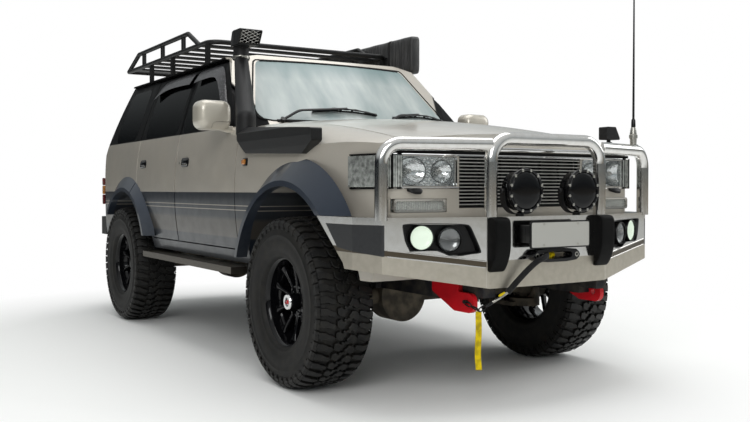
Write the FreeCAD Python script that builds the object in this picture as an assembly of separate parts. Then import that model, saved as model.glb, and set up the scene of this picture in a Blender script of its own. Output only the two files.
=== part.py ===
import FreeCAD, Part
import math
import os

# Lifted off-road 4x4. Millimetres, +X forward, +Y left, +Z up.
# The origin is on the floor, at the middle of the bounding box of the parked vehicle.

Vec = FreeCAD.Vector

# Whole vehicle
front_overhang = 1030
rear_overhang = 960
wheelbase = 2850
mirror_reach_out = 180
overrun = 40
panel_gap = 8
seat_gap = 0.3
shortest_run = 0.03
glass_thickness = 5

# Wheels
tyre_radius = 444.5
tyre_width = 318
tyre_shoulder = 46
sidewall_bulge = 10
bead_radius = 222
rim_width = 240
rim_wall = 9
rim_lip_height = 11
rim_drop = 22
rim_face_inset = 62
spoke_count = 10
spoke_width = 26
spoke_depth = 26
hub_disc_radius = 92
hub_disc_depth = 46
lock_radius = 40
lock_length = 74
front_half_track_in = 94.5
rear_half_track_in = 101

# Steering
king_pin_y_in = 216
knuckle_radius = 92
knuckle_height = 250
knuckle_cup_radius = 78
knuckle_flange_radius = 82
knuckle_clearance = 6
spindle_radius = 30
steering_arm_length = 190
steering_arm_width = 44
steering_arm_inset = 78
steering_arm_depth = 24

# Body section, seen from the front
sill_half_in = 44
bulge_half = 916
belt_half_in = 40
gutter_half_in = 211
gutter_reach_in = 185
gutter_front_back = 1262
gutter_rear_back_tail = 390
gutter_drop = 4
gutter_rise = 8
sill_z = 600
bulge_z = 960
belt_z = 1395
gutter_z = 1880
roof_crown_z = 1952
pillar_bow = 10
door_wall = 125
frame_wall = 42
roof_wall = 34
floor_wall = 36
firewall_wall = 34
belt_ledge = 16

# Body profile, measured behind the front axle
cowl_back = 700
screen_base_back = 815
screen_base_bow = 82
screen_base_half_in = 186
screen_head_back = 1180
screen_head_bow = 62
screen_head_half_in = 353
screen_base_z = 1455
screen_head_z = 1872
screen_corner = 60
roof_front_drop = 58
roof_front_run = 330
rear_face_back_tail = 710
rear_roof_back_tail = 450
rear_lean_z = 1215
rear_wall = 60
rear_corner_radius = 120

# Front clip
nose_ahead = 745
nose_half_in = 124
nose_taper_start = 60
nose_corner_radius = 95
nose_bow = 26
bonnet_crown_rear = 1462
bonnet_crown_mid = 1408
bonnet_crown_front = 1300
bonnet_mid_ahead = 120
shoulder_half_in = 212
shoulder_drop = 46
fender_edge_half_out = 14
fender_edge_drop = 235
fender_mid_half_in = 76
fender_mid_drop = 100
bonnet_half_in = 212
bonnet_rear_back = 640
bonnet_front_gap_z = 1212
bonnet_skin = 22
bay_half_upper_in = 252
bay_half_lower_in = 512
bay_front_ahead = 640
bay_ledge_z = 1080
nose_floor_z = 700

# Wheel arches and flares
front_arch_radius = 588
front_arch_back = 15
front_arch_z = 458
front_flare_radius = 672
front_flare_ahead = 50
front_flare_z = 518
front_flare_nose_z = 905
front_flare_foot_z = 640
rear_arch_radius = 543
rear_arch_ahead = 30
rear_arch_z = 470
rear_arch_inner_in = 298
rear_flare_radius = 648
rear_flare_ahead = 12
rear_flare_z = 504
rear_flare_front_z = 688
rear_flare_rear_z = 820
flare_reach_out = 50
flare_seat_half_in = 18
flare_lip = 30
house_wall = 22

# Doors, measured behind the front axle
door_plug_out_out = 44
door_plug_in_in = 356
door_plug_taper = 108
door_bottom_z = 678
front_door_front = 712
front_door_rear_share = 0.6119
rear_door_rear_lead = 240
door_top_z = 1858
door_knee_z = 1430
door_low_knee_z = 1010
pillar_foot_back = 790
pillar_foot_z = 1438
pillar_head_back = 1262
rear_door_arch_margin = 44
door_corner = 50
post_front_lead = 44
post_rear_tail = 48
post_depth = 60
post_clearance = 12
post_inner_in = 326
pad_inner_in = 242
pad_outer_in = 218
pad_length = 40
pad_ahead = 420
gate_pad_half = 420
pillar_lean = 64
window_base_z = 1412
window_top_z = 1822
window_frame = 52
window_corner = 46
quarter_front_lead = 115
quarter_rear_low_tail = 450
quarter_rear_high_tail = 360
quarter_corner = 70

# Tailgates
tailgate_half_in = 174
tailgate_base_z = 806
tailgate_split_z = 1195
tailgate_head_z = 1868
tailgate_head_half_in = 276
tailgate_taper = 26
tailgate_window_half_in = 326
tailgate_window_head_half_in = 376
tailgate_window_base_z = 1415
tailgate_window_head_z = 1800

# Mirrors
mirror_inner_in = 30
mirror_base_z = 1383
mirror_top_z = 1560
mirror_back = 912
mirror_front = 790
mirror_corner = 50
mirror_foot_length = 60
mirror_foot_height = 50

# Chassis
rail_outer_in = 516
rail_width = 72
rail_base_z = 496
rail_height = 100
rail_front_ahead = 940
rail_rear_back_tail = 630
cross_member_width = 90
cross_member_aheads = [560, 330]
cross_member_shares = (0.2456, 0.5263, 0.7895, 1.207)
axle_tube_radius = 46
axle_z = 444.5
diff_offset_in = 666
diff_radius = 145
diff_width = 150
diff_nose_length = 240
diff_nose_radius = 62
rear_diff_radius = 160
hub_flange_radius = 92
coil_half_in = 401
coil_radius = 62
coil_wire = 8
arm_half_in = 556
arm_width = 40
arm_height = 66
arm_length = 880
shaft_radius = 38
transfer_back = 1150
transfer_length = 420
transfer_half = 190
transfer_base_z = 430
exhaust_radius = 30
exhaust_low_z = 464
exhaust_high_z = 558
exhaust_bend = 120
exhaust_front_back = 340
exhaust_end_back_tail = 750
exhaust_rise_back_lead = 310
exhaust_top_front_back_lead = 140
exhaust_top_rear_back_tail = 135
exhaust_fall_back_tail = 300
exhaust_half = 250
silencer_radius = 70
silencer_length = 560
silencer_back_lead = 950
tank_front_back_tail = 210
tank_rear_back_tail = 540
tank_right_half = 300
tank_left_half = 170
tank_base_z = 470
tank_corner = 40
engine_rear_back = 420
engine_front_ahead = 430
engine_half = 210
engine_top_z = 1250

# Bull bar
bar_front_ahead = 962
bar_mid_ahead = 952
bar_mid_half = 372
bar_shoulder_ahead = 792
bar_shoulder_half_in = 58
bar_end_half_out = 20
bar_corner_half_out = 4
bar_corner_ahead = 640
bar_end_ahead = 330
bar_top_z = 902
bar_base_z = 572
bar_wing_base_z = 690
bar_end_cut_ahead = 560
bar_wall = 26
bar_lamp_inner = 413
bar_lamp_outer_in = 154
bar_lamp_base_z = 727
bar_lamp_top_z = 872
bar_lamp_depth = 46
hoop_radius = 31
centre_hoop_half = 352
centre_hoop_ahead = 935
centre_hoop_top_z = 1266
centre_hoop_bend = 110
outer_hoop_half_in = 64
outer_hoop_ahead = 778
outer_hoop_top_z = 1236
outer_hoop_bend = 92
buffer_half = 338
buffer_width = 88
buffer_front_ahead = 1012
buffer_base_z = 642
buffer_top_z = 900
buffer_corner = 12
driving_lamp_half = 184
driving_lamp_z = 1023
driving_lamp_radius = 104
driving_lamp_depth = 92
driving_lamp_front_ahead = 996
lamp_bracket_width = 40
fog_lamp_radius = 52
bright_lamp_half = 694
dark_lamp_half = 568
fog_lamp_z = 808
plate_half = 186
plate_base_z = 756
plate_top_z = 876
plate_thickness = 14
plate_bracket_width = 60
fairlead_half = 150
fairlead_base_z = 684
fairlead_top_z = 748
fairlead_depth = 44
fairlead_slot_half = 92
fairlead_slot_height = 26
fairlead_hole_radius = 7
fairlead_hole_half = 127
line_window_half = 104
wing_mirror_half_in = 136
wing_mirror_ahead = 600
wing_mirror_depth = 60
wing_mirror_base_z = 1304
wing_mirror_top_z = 1376
wing_mirror_inner_reach = 46
wing_mirror_outer_reach = 63
wing_mirror_slope = 38
wing_mirror_corner = 9
wing_mirror_stalk_radius = 11
wing_mirror_foot_rear_ahead = 450
wing_mirror_foot_width = 30
wing_mirror_foot_z = 1292
recovery_thickness = 24
recovery_front_ahead = 900
recovery_neck_ahead = 787
recovery_foot_ahead = 753
recovery_rear_ahead = 576
recovery_top_z = 586
recovery_lobe_top_z = 545
recovery_heel_z = 532
recovery_base_z = 453
recovery_eye_radius = 14
recovery_eye_ahead = 850
recovery_eye_z = 500
recovery_lobe_radius = 40
recovery_corner = 20

# Nose lamps and grille
lamp_base_z = 1044
lamp_top_z = 1182
lamp_inner = 412
lamp_outer_in = 146
lamp_depth = 60
corner_lamp_back_ahead = 490
corner_lamp_base_z = 1030
corner_lamp_top_z = 1196
corner_lamp_skin = 26
park_lamp_inner = 470
park_lamp_outer_in = 146
park_lamp_base_z = 922
park_lamp_top_z = 986
grille_half = 398
grille_base_z = 940
grille_top_z = 1190
grille_depth = 40
grille_frame = 16
fin_count = 15
fin_thickness = 6
rear_lamp_base_z = 900
rear_lamp_top_z = 1130
rear_lamp_inner_in = 151
rear_lamp_skin = 24

# Snorkel, on the right-hand side
snorkel_foot_radius = 58
snorkel_top_radius = 42
snorkel_low_half_in = 31
snorkel_low_z = 1445
snorkel_low_back = 612
snorkel_high_half_in = 154
snorkel_high_z = 1842
snorkel_high_back = 955
snorkel_body_outer_out = 28
snorkel_body_inner_in = 36
snorkel_body_base_z = 1209
snorkel_body_top_z = 1374
snorkel_body_crease_z = 1300
snorkel_body_bevel_z = 1250
snorkel_body_bevel = 22
snorkel_body_shoulder = 26
snorkel_body_front_ahead = 286
snorkel_body_rear_back = 612
snorkel_body_fall = 40
snorkel_body_heel_z = 1312
snorkel_keel_front_ahead = 156
snorkel_keel_rear_back = 515
snorkel_keel_rise = 24
snorkel_nose_z = 1272
snorkel_body_corner = 12
snorkel_neck_radius = 48
snorkel_collar_radius = 51
snorkel_collar_height = 32
snorkel_mouth_width = 144
snorkel_mouth_base_z = 1908
snorkel_mouth_top_z = 1996
snorkel_mouth_back = 789
snorkel_mouth_lean = 54
snorkel_mouth_depth = 34
snorkel_mouth_corner = 10
snorkel_mouth_wall = 9

# Roof rack and awning
rack_half_in = 200
rack_front_back = 1565
rack_rear_back_tail = 575
rack_z = 2036
rack_tube_radius = 17
rack_slat_count = 8
rack_slat_width = 58
rack_slat_height = 16
rack_bend = 90
rack_rail_front_back = 1990
rack_rail_front_run = 220
rack_rail_rear_run = 290
rack_post_start = 420
rack_post_end = 100
rack_rail_rise = 113
rack_rail_bend = 90
rack_post_count = 3
rack_foot_shares = (0.5702, 0.8158, 0.9895)
rack_foot_width = 46
rack_foot_thickness = 24
awning_front_back = 1280
awning_rear_back_tail = 550
awning_inner_in = 174
awning_outer_in = 84
awning_base_z = 1886
awning_top_z = 2165
awning_corner = 22
awning_bracket_thickness = 8

# Steps, flaps and rear bumper
step_front_back = 670
step_rear_back_lead = 540
step_outer_out = 42
step_inner_in = 110
step_z = 556
step_height = 40
step_bracket_width = 50
flap_width = 210
flap_thickness = 10
front_flap_back = 622
front_flap_base_z = 300
rear_flap_back_tail = 630
rear_flap_base_z = 330
bumper_half_in = 36
bumper_base_z = 640
bumper_top_z = 792
bumper_wall = 24
bumper_corner = 110

# Cabin
seat_width = 500
seat_half = 380
seat_front_back = 1130
seat_length = 520
seat_base_z = 780
seat_cushion_height = 150
seat_back_height = 620
seat_back_thickness = 130
seat_riser_inset = 60
headrest_width = 250
headrest_height = 150
headrest_gap = 40
bench_front_back_lead = 830
bench_half_in = 331
dash_front_back = 736
dash_depth = 394
dash_half_in = 216
dash_base_z = 1010
dash_top_z = 1376
dash_corner = 70
wheel_hand_half = 380
wheel_hand_radius = 190
wheel_hand_tube = 15
wheel_hand_back = 1240
wheel_hand_z = 1290
wheel_hand_rake = 28

# Antenna, small mirror and winch hook
antenna_half_in = 181
antenna_ahead = 815
antenna_foot_width = 34
antenna_spring_radius = 17
antenna_spring_height = 90
antenna_whip_radius = 5
antenna_top_z = 2310
line_radius = 11
line_lift = 0.5
line_bend_radius = 36
line_start_half = 40
line_bend_half = 84
line_side_half = 170
line_end_half = 286
line_start_ahead = 8
line_reach = 68
line_side_reach = 56
line_end_reach = 15
line_side_drop = 27.5
line_end_drop = 162.5
hook_reach = 40
hook_radius = 12
hook_pin_radius = 8
hook_chain_radius = 7
hook_chain_bend = 12
hook_end_ahead = 95
hook_end_in = 90
hook_end_rise = 1
hook_chain_ahead = 95
hook_chain_in = 12
hook_chain_drop = 31
strap_shift = 18
strap_width = 42
strap_thickness = 5
strap_length = 276

# Fits between neighbours
tower_z = 850
tower_plate = 12
bracket_inner_in = 488
boot_floor_z = 740
boot_front_back_lead = 370
boot_half_in = 320
bar_body_gap = 20
nose_gap = 8
rack_foot_half_in = 202
step_bracket_shares = (0.08, 0.36, 0.64, 0.92)
pocket_shares = (
    (0.994, 1.0), (0.193, 0.974), (0.146, 0.908), (0.106, 0.711), (0.0, 0.134), (0.02, 0.082),
    (0.255, 0.013), (0.431, 0.023), (0.587, 0.172), (0.923, 0.152), (0.989, 0.503), (1.0, 0.908),
)

# Half widths that follow the widest point of the body
mirror_reach = bulge_half + mirror_reach_out
front_half_track = bulge_half - front_half_track_in
rear_half_track = bulge_half - rear_half_track_in
king_pin_y = bulge_half - king_pin_y_in
sill_half = bulge_half - sill_half_in
belt_half = bulge_half - belt_half_in
gutter_half = bulge_half - gutter_half_in
gutter_reach = bulge_half - gutter_reach_in
screen_base_half = bulge_half - screen_base_half_in
screen_head_half = bulge_half - screen_head_half_in
nose_half = bulge_half - nose_half_in
shoulder_half = bulge_half - shoulder_half_in
fender_edge_half = bulge_half + fender_edge_half_out
fender_mid_half = bulge_half - fender_mid_half_in
bonnet_half = bulge_half - bonnet_half_in
bay_half_upper = bulge_half - bay_half_upper_in
bay_half_lower = bulge_half - bay_half_lower_in
rear_arch_inner = bulge_half - rear_arch_inner_in
flare_reach = bulge_half + flare_reach_out
flare_seat_half = bulge_half - flare_seat_half_in
door_plug_out = bulge_half + door_plug_out_out
door_plug_in = bulge_half - door_plug_in_in
post_inner = bulge_half - post_inner_in
pad_inner = bulge_half - pad_inner_in
pad_outer = bulge_half - pad_outer_in
tailgate_half = bulge_half - tailgate_half_in
tailgate_head_half = bulge_half - tailgate_head_half_in
tailgate_window_half = bulge_half - tailgate_window_half_in
tailgate_window_head_half = bulge_half - tailgate_window_head_half_in
mirror_inner = bulge_half - mirror_inner_in
rail_outer = bulge_half - rail_outer_in
diff_offset = bulge_half - diff_offset_in
coil_half = bulge_half - coil_half_in
arm_half = bulge_half - arm_half_in
bar_shoulder_half = bulge_half - bar_shoulder_half_in
bar_end_half = bulge_half + bar_end_half_out
bar_corner_half = bulge_half + bar_corner_half_out
bar_lamp_outer = bulge_half - bar_lamp_outer_in
outer_hoop_half = bulge_half - outer_hoop_half_in
lamp_outer = bulge_half - lamp_outer_in
park_lamp_outer = bulge_half - park_lamp_outer_in
rear_lamp_inner = bulge_half - rear_lamp_inner_in
snorkel_low_half = bulge_half - snorkel_low_half_in
snorkel_high_half = bulge_half - snorkel_high_half_in
snorkel_body_outer = bulge_half + snorkel_body_outer_out
snorkel_body_inner = bulge_half - snorkel_body_inner_in
rack_half = bulge_half - rack_half_in
awning_inner = bulge_half - awning_inner_in
awning_outer = bulge_half - awning_outer_in
step_outer = bulge_half + step_outer_out
step_inner = bulge_half - step_inner_in
bumper_half = bulge_half - bumper_half_in
bench_half = bulge_half - bench_half_in
dash_half = bulge_half - dash_half_in
antenna_half = bulge_half - antenna_half_in
bracket_inner = bulge_half - bracket_inner_in
boot_half = bulge_half - boot_half_in
rack_foot_half = bulge_half - rack_foot_half_in

# Distances behind the front axle that follow the wheelbase
front_door_rear = wheelbase * front_door_rear_share
post_front_back = front_door_rear - post_front_lead
post_rear_back = front_door_rear + post_rear_tail
gutter_rear_back = wheelbase + gutter_rear_back_tail
rear_face_back = wheelbase + rear_face_back_tail
rear_roof_back = wheelbase + rear_roof_back_tail
rear_door_rear = wheelbase - rear_door_rear_lead
quarter_front = wheelbase - quarter_front_lead
quarter_rear_low = wheelbase + quarter_rear_low_tail
quarter_rear_high = wheelbase + quarter_rear_high_tail
rail_rear_back = wheelbase + rail_rear_back_tail
exhaust_end_back = wheelbase + exhaust_end_back_tail
exhaust_rise_back = wheelbase - exhaust_rise_back_lead
exhaust_top_front_back = wheelbase - exhaust_top_front_back_lead
exhaust_top_rear_back = wheelbase + exhaust_top_rear_back_tail
exhaust_fall_back = wheelbase + exhaust_fall_back_tail
silencer_back = wheelbase - silencer_back_lead
tank_front_back = wheelbase + tank_front_back_tail
tank_rear_back = wheelbase + tank_rear_back_tail
rack_rear_back = wheelbase + rack_rear_back_tail
awning_rear_back = wheelbase + awning_rear_back_tail
step_rear_back = wheelbase - step_rear_back_lead
rear_flap_back = wheelbase + rear_flap_back_tail
bench_front_back = wheelbase - bench_front_back_lead
boot_front_back = wheelbase - boot_front_back_lead

# Stations along the vehicle
overall_length = front_overhang + wheelbase + rear_overhang
front_axle_x = overall_length / 2 - front_overhang
rear_axle_x = front_axle_x - wheelbase
rear_end_x = -overall_length / 2

# Route of the winch line, from the fairlead's slot to the hook's eye
line_z = (fairlead_base_z + fairlead_top_z - fairlead_slot_height) / 2 + line_radius + line_lift
line_points = [
    Vec(front_axle_x + bar_front_ahead + line_start_ahead, -line_start_half, line_z),
    Vec(front_axle_x + bar_front_ahead + line_reach, -line_bend_half, line_z),
    Vec(front_axle_x + bar_front_ahead + line_side_reach, -line_side_half, line_z - line_side_drop),
    Vec(front_axle_x + bar_front_ahead + line_end_reach, -line_end_half, line_z - line_end_drop),
]
line_radii = [0, line_bend_radius, line_bend_radius, 0]
hook_lift = recovery_eye_radius - hook_pin_radius - seat_gap
hook_tip = Vec(front_axle_x + recovery_eye_ahead, -rail_outer - hook_reach,
               recovery_eye_z + hook_lift)
hook_end = hook_tip + Vec(hook_end_ahead, hook_end_in, hook_end_rise)
hook_low = hook_tip + Vec(hook_chain_ahead, hook_chain_in, -hook_chain_drop)


def ahead(distance):
    """X of a station that lies this far ahead of the front axle."""
    return front_axle_x + distance


def behind(distance):
    """X of a station that lies this far behind the front axle."""
    return front_axle_x - distance


def block(x0, x1, y0, y1, z0, z1):
    """Plain box between two corners."""
    low = Vec(min(x0, x1), min(y0, y1), min(z0, z1))
    return Part.makeBox(abs(x1 - x0), abs(y1 - y0), abs(z1 - z0), low)


def rounded_path(points, radii, closed):
    """Straight runs between points, with a tangent arc of the given radius at each corner."""
    count = len(points)
    joints = []
    for i in range(count):
        here = points[i]
        end = not closed and i in (0, count - 1)
        if end or not radii[i]:
            joints.append((here, None, here))
            continue
        to_last = (points[i - 1] - here).normalize()
        to_next = (points[(i + 1) % count] - here).normalize()
        half_angle = to_last.getAngle(to_next) / 2
        reach = radii[i] / math.tan(half_angle)
        middle = (to_last + to_next).normalize()
        depth = radii[i] / math.sin(half_angle) - radii[i]
        joints.append((here + to_last * reach, here + middle * depth, here + to_next * reach))
    edges = []
    last = count if closed else count - 1
    for i in range(count):
        start, middle, finish = joints[i]
        if middle:
            edges.append(Part.Arc(start, middle, finish).toShape())
        if i < last:
            onward = joints[(i + 1) % count][0]
            if finish.distanceToPoint(onward) > shortest_run:
                edges.append(Part.LineSegment(finish, onward).toShape())
    return Part.Wire(Part.sortEdges(edges)[0])


def rounded_ring(points, radius):
    """Closed outline with one radius at all its corners."""
    return rounded_path(points, [radius] * len(points), True)


def face_prism(wire, direction):
    """Solid swept from a flat closed outline along a direction."""
    return Part.Face(wire).extrude(direction)


def side_prism(points, radius, y0, y1):
    """Outline given as (x, z) pairs, swept from y0 to y1."""
    ring = rounded_ring([Vec(x, y0, z) for x, z in points], radius)
    return face_prism(ring, Vec(0, y1 - y0, 0))


def front_prism(points, radius, x0, x1):
    """Outline given as (y, z) pairs, swept from x0 to x1."""
    ring = rounded_ring([Vec(x0, y, z) for y, z in points], radius)
    return face_prism(ring, Vec(x1 - x0, 0, 0))


def plan_prism(points, radius, z0, z1):
    """Outline given as (x, y) pairs, swept from z0 to z1."""
    ring = rounded_ring([Vec(x, y, z0) for x, y in points], radius)
    return face_prism(ring, Vec(0, 0, z1 - z0))


def rod(start, finish, radius):
    """Round bar between two points."""
    run = finish - start
    return Part.makeCylinder(radius, run.Length, start, run)


def cross_rod(x, z, y0, y1, radius):
    """Round bar across the vehicle."""
    return rod(Vec(x, min(y0, y1), z), Vec(x, max(y0, y1), z), radius)


def bent_tube(points, radii, radius):
    """Round tube along straight runs with tangent bends."""
    path = rounded_path(points, radii, False)
    circle = Part.Circle(points[0], points[1] - points[0], radius).toShape()
    return path.makePipeShell([Part.Wire([circle])], True, False)


def mirrored(shape):
    """The same shape on the other side of the vehicle."""
    return shape.mirror(Vec(0, 0, 0), Vec(0, 1, 0))


def both_sides(shape):
    """A shape and its mirror image, as solids that stay apart."""
    return Part.makeCompound([shape, mirrored(shape)])


def fused(shapes):
    """One solid from shapes that meet."""
    whole = shapes[0]
    if len(shapes) > 1:
        whole = whole.fuse(shapes[1:])
    return whole.removeSplitter()


def save(node, shape):
    """Write one named sub-part."""
    shape.exportStep("parts/" + node + ".step")


def arc_edge(a, b, c):
    """Arc through three points."""
    return Part.Arc(a, b, c).toShape()


def line_edge(a, b):
    """Straight edge between two points."""
    return Part.LineSegment(a, b).toShape()


def cab_section(x):
    """Outer section of the cab: bulged sides, leaning windows and a crowned roof."""
    sill_l, sill_r = Vec(x, sill_half, sill_z), Vec(x, -sill_half, sill_z)
    belt_l, belt_r = Vec(x, belt_half, belt_z), Vec(x, -belt_half, belt_z)
    gutter_l, gutter_r = Vec(x, gutter_half, gutter_z), Vec(x, -gutter_half, gutter_z)
    bow_half = (belt_half + gutter_half) / 2 + pillar_bow
    bow_z = (belt_z + gutter_z) / 2
    edges = [
        line_edge(sill_l, sill_r),
        arc_edge(sill_r, Vec(x, -bulge_half, bulge_z), belt_r),
        arc_edge(belt_r, Vec(x, -bow_half, bow_z), gutter_r),
        arc_edge(gutter_r, Vec(x, 0, roof_crown_z), gutter_l),
        arc_edge(gutter_l, Vec(x, bow_half, bow_z), belt_l),
        arc_edge(belt_l, Vec(x, bulge_half, bulge_z), sill_l),
    ]
    return Part.Wire(edges)


def cabin_section(x):
    """Inner section of the cab: thick doors below the belt, thin frames above it."""
    low = bulge_half - door_wall
    ledge_z = belt_z - belt_ledge
    high = belt_half - frame_wall
    head_half = gutter_half - frame_wall
    head_z = gutter_z - roof_wall
    bow_half = (high + head_half) / 2 + pillar_bow
    bow_z = (ledge_z + head_z) / 2
    points = [Vec(x, -low, sill_z + floor_wall), Vec(x, -low, ledge_z), Vec(x, -high, ledge_z)]
    left = [Vec(x, high, ledge_z), Vec(x, low, ledge_z), Vec(x, low, sill_z + floor_wall)]
    edges = [line_edge(points[0], points[1]), line_edge(points[1], points[2])]
    head_r, head_l = Vec(x, -head_half, head_z), Vec(x, head_half, head_z)
    edges.append(arc_edge(points[2], Vec(x, -bow_half, bow_z), head_r))
    edges.append(arc_edge(head_r, Vec(x, 0, roof_crown_z - roof_wall), head_l))
    edges.append(arc_edge(head_l, Vec(x, bow_half, bow_z), left[0]))
    edges.append(line_edge(left[0], left[1]))
    edges.append(line_edge(left[1], left[2]))
    edges.append(line_edge(left[2], points[0]))
    return Part.Wire(edges)


def screen_ring(z, inset):
    """Plan outline behind the curved windscreen at one height."""
    share = (z - screen_base_z) / (screen_head_z - screen_base_z)
    back = screen_base_back + share * (screen_head_back - screen_base_back) + inset
    bow = screen_base_bow + share * (screen_head_bow - screen_base_bow)
    half = screen_base_half + share * (screen_head_half - screen_base_half)
    arc_depth = bow * (bulge_half / half) ** 2
    middle_x = behind(back - bow)
    side_x = middle_x - arc_depth
    tail_x = behind(rear_face_back + overrun)
    right, left = Vec(side_x, -bulge_half, z), Vec(side_x, bulge_half, z)
    tail_r, tail_l = Vec(tail_x, -bulge_half, z), Vec(tail_x, bulge_half, z)
    return Part.Wire([
        arc_edge(right, Vec(middle_x, 0, z), left),
        line_edge(left, tail_l),
        line_edge(tail_l, tail_r),
        line_edge(tail_r, right),
    ])


def behind_screen(inset):
    """Everything behind the windscreen's surface, moved back by an inset."""
    low = screen_ring(belt_z - overrun, inset)
    high = screen_ring(roof_crown_z + overrun, inset)
    return Part.makeLoft([low, high], True, True)


def cab_profile(inset):
    """Side view of the cab, as a prism across the vehicle."""
    front = behind(cowl_back + inset)
    rear = behind(rear_face_back - inset)
    lean = behind(rear_roof_back - inset)
    over_roof = roof_crown_z + overrun
    lean_rise = (over_roof - rear_lean_z) / (gutter_z - rear_lean_z)
    rear_top = rear + (lean - rear) * lean_rise
    brow_x = behind(screen_head_back - screen_head_bow)
    points = [
        (front, sill_z - overrun),
        (front, screen_head_z),
        (brow_x, roof_crown_z - roof_front_drop - inset),
        (brow_x - roof_front_run, roof_crown_z - inset / 2),
        (rear_top + overrun, roof_crown_z - inset / 2),
        (rear_top, over_roof - overrun),
        (rear, rear_lean_z),
        (rear, sill_z - overrun),
    ]
    return side_prism(points, 0, -bulge_half - overrun, bulge_half + overrun)


def cab_plan(inset):
    """Plan of the cab with rounded rear corners."""
    half = bulge_half + overrun
    rear = behind(rear_face_back - inset)
    ring = rounded_path(
        [
            Vec(behind(cowl_back) + overrun, -half, 0),
            Vec(behind(cowl_back) + overrun, half, 0),
            Vec(rear, bulge_half - inset, 0),
            Vec(rear, -bulge_half + inset, 0),
        ],
        [0, 0, rear_corner_radius, rear_corner_radius],
        True,
    )
    return face_prism(ring, Vec(0, 0, roof_crown_z + overrun))


def cab_outer():
    """Closed outer form of the cab."""
    length = rear_face_back - cowl_back
    start = behind(rear_face_back)
    body = face_prism(cab_section(start), Vec(length, 0, 0))
    body = body.common(cab_profile(0)).common(cab_plan(0))
    above = block(start - overrun, behind(cowl_back) + overrun, -bulge_half - overrun,
                  bulge_half + overrun, belt_z, roof_crown_z + overrun)
    glasshouse = body.common(above).common(behind_screen(0))
    lower = body.cut(above)
    return lower.fuse(glasshouse)


def cab_cavity():
    """Empty space inside the cab."""
    length = rear_face_back - cowl_back - firewall_wall - rear_wall
    start = behind(rear_face_back - rear_wall)
    space = face_prism(cabin_section(start), Vec(length, 0, 0))
    space = space.common(cab_profile(firewall_wall)).common(cab_plan(rear_wall))
    lean = cab_profile(rear_wall)
    space = space.common(lean.fuse(block(behind(screen_head_back), behind(cowl_back), -bulge_half,
                                         bulge_half, sill_z, roof_crown_z)))
    above = block(start - overrun, behind(cowl_back), -bulge_half, bulge_half,
                  belt_z - belt_ledge, roof_crown_z)
    return space.cut(above).fuse(space.common(above).common(behind_screen(firewall_wall)))


def wing_mirror(form):
    """Small mirror on a long foot on top of the left wing."""
    x, y = ahead(wing_mirror_ahead), bulge_half - wing_mirror_half_in
    inner, outer = y - wing_mirror_inner_reach, y + wing_mirror_outer_reach
    head = front_prism([(inner, wing_mirror_base_z), (outer, wing_mirror_base_z),
                        (outer - wing_mirror_slope, wing_mirror_top_z), (inner, wing_mirror_top_z)],
                       wing_mirror_corner, x - wing_mirror_depth / 2, x + wing_mirror_depth / 2)
    stalk = rod(Vec(x, y, wing_mirror_foot_z - wing_mirror_stalk_radius),
                Vec(x, y, wing_mirror_base_z + wing_mirror_corner), wing_mirror_stalk_radius)
    foot = block(ahead(wing_mirror_foot_rear_ahead), x + wing_mirror_stalk_radius,
                 y - wing_mirror_foot_width / 2, y + wing_mirror_foot_width / 2,
                 wing_mirror_foot_z - wing_mirror_depth, wing_mirror_foot_z)
    return fused([head, stalk, foot]).cut(form)


def nose_section(x, crown, drop):
    """Section of the front clip: crowned bonnet, rounded shoulders and wing tops."""
    top = crown - drop
    shoulder_z = top - shoulder_drop
    edge_z = top - fender_edge_drop
    mid_z = top - fender_mid_drop
    base_z = sill_z - overrun
    edge_l, edge_r = Vec(x, fender_edge_half, edge_z), Vec(x, -fender_edge_half, edge_z)
    should_l, should_r = Vec(x, shoulder_half, shoulder_z), Vec(x, -shoulder_half, shoulder_z)
    base_l, base_r = Vec(x, fender_edge_half, base_z), Vec(x, -fender_edge_half, base_z)
    return Part.Wire([
        line_edge(base_l, base_r),
        line_edge(base_r, edge_r),
        arc_edge(edge_r, Vec(x, -fender_mid_half, mid_z), should_r),
        arc_edge(should_r, Vec(x, 0, top), should_l),
        arc_edge(should_l, Vec(x, fender_mid_half, mid_z), edge_l),
        line_edge(edge_l, base_l),
    ])


def nose_loft(drop):
    """Bonnet and wing tops as a loft from the cowl to the nose."""
    sections = [
        nose_section(behind(cowl_back), bonnet_crown_rear, drop),
        nose_section(ahead(bonnet_mid_ahead), bonnet_crown_mid, drop),
        nose_section(ahead(nose_ahead + nose_bow), bonnet_crown_front, drop),
    ]
    return Part.makeLoft(sections, True, False)


def nose_plan(inset):
    """Plan of the front clip: sides that taper forward and a bowed, round-cornered front."""
    rear_x = behind(cowl_back)
    taper_x = ahead(nose_taper_start)
    front_x = ahead(nose_ahead - inset)
    side = bulge_half + overrun
    nose = nose_half - inset
    ring = rounded_path(
        [
            Vec(rear_x, -side, 0),
            Vec(taper_x, -bulge_half, 0),
            Vec(front_x, -nose, 0),
            Vec(front_x + nose_bow, 0, 0),
            Vec(front_x, nose, 0),
            Vec(taper_x, bulge_half, 0),
            Vec(rear_x, side, 0),
        ],
        [0, overall_length / 2, nose_corner_radius, 0, nose_corner_radius, overall_length / 2, 0],
        True,
    )
    return face_prism(ring, Vec(0, 0, roof_crown_z))


def nose_outer():
    """Closed outer form of the front clip."""
    length = cowl_back + nose_ahead + nose_bow
    sides = face_prism(cab_section(behind(cowl_back)), Vec(length, 0, 0))
    body = nose_loft(0).common(nose_plan(0)).common(sides)
    under = block(ahead(bay_front_ahead), ahead(nose_ahead + overrun), -bulge_half, bulge_half,
                  sill_z - overrun, nose_floor_z)
    return body.cut(under)


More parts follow.
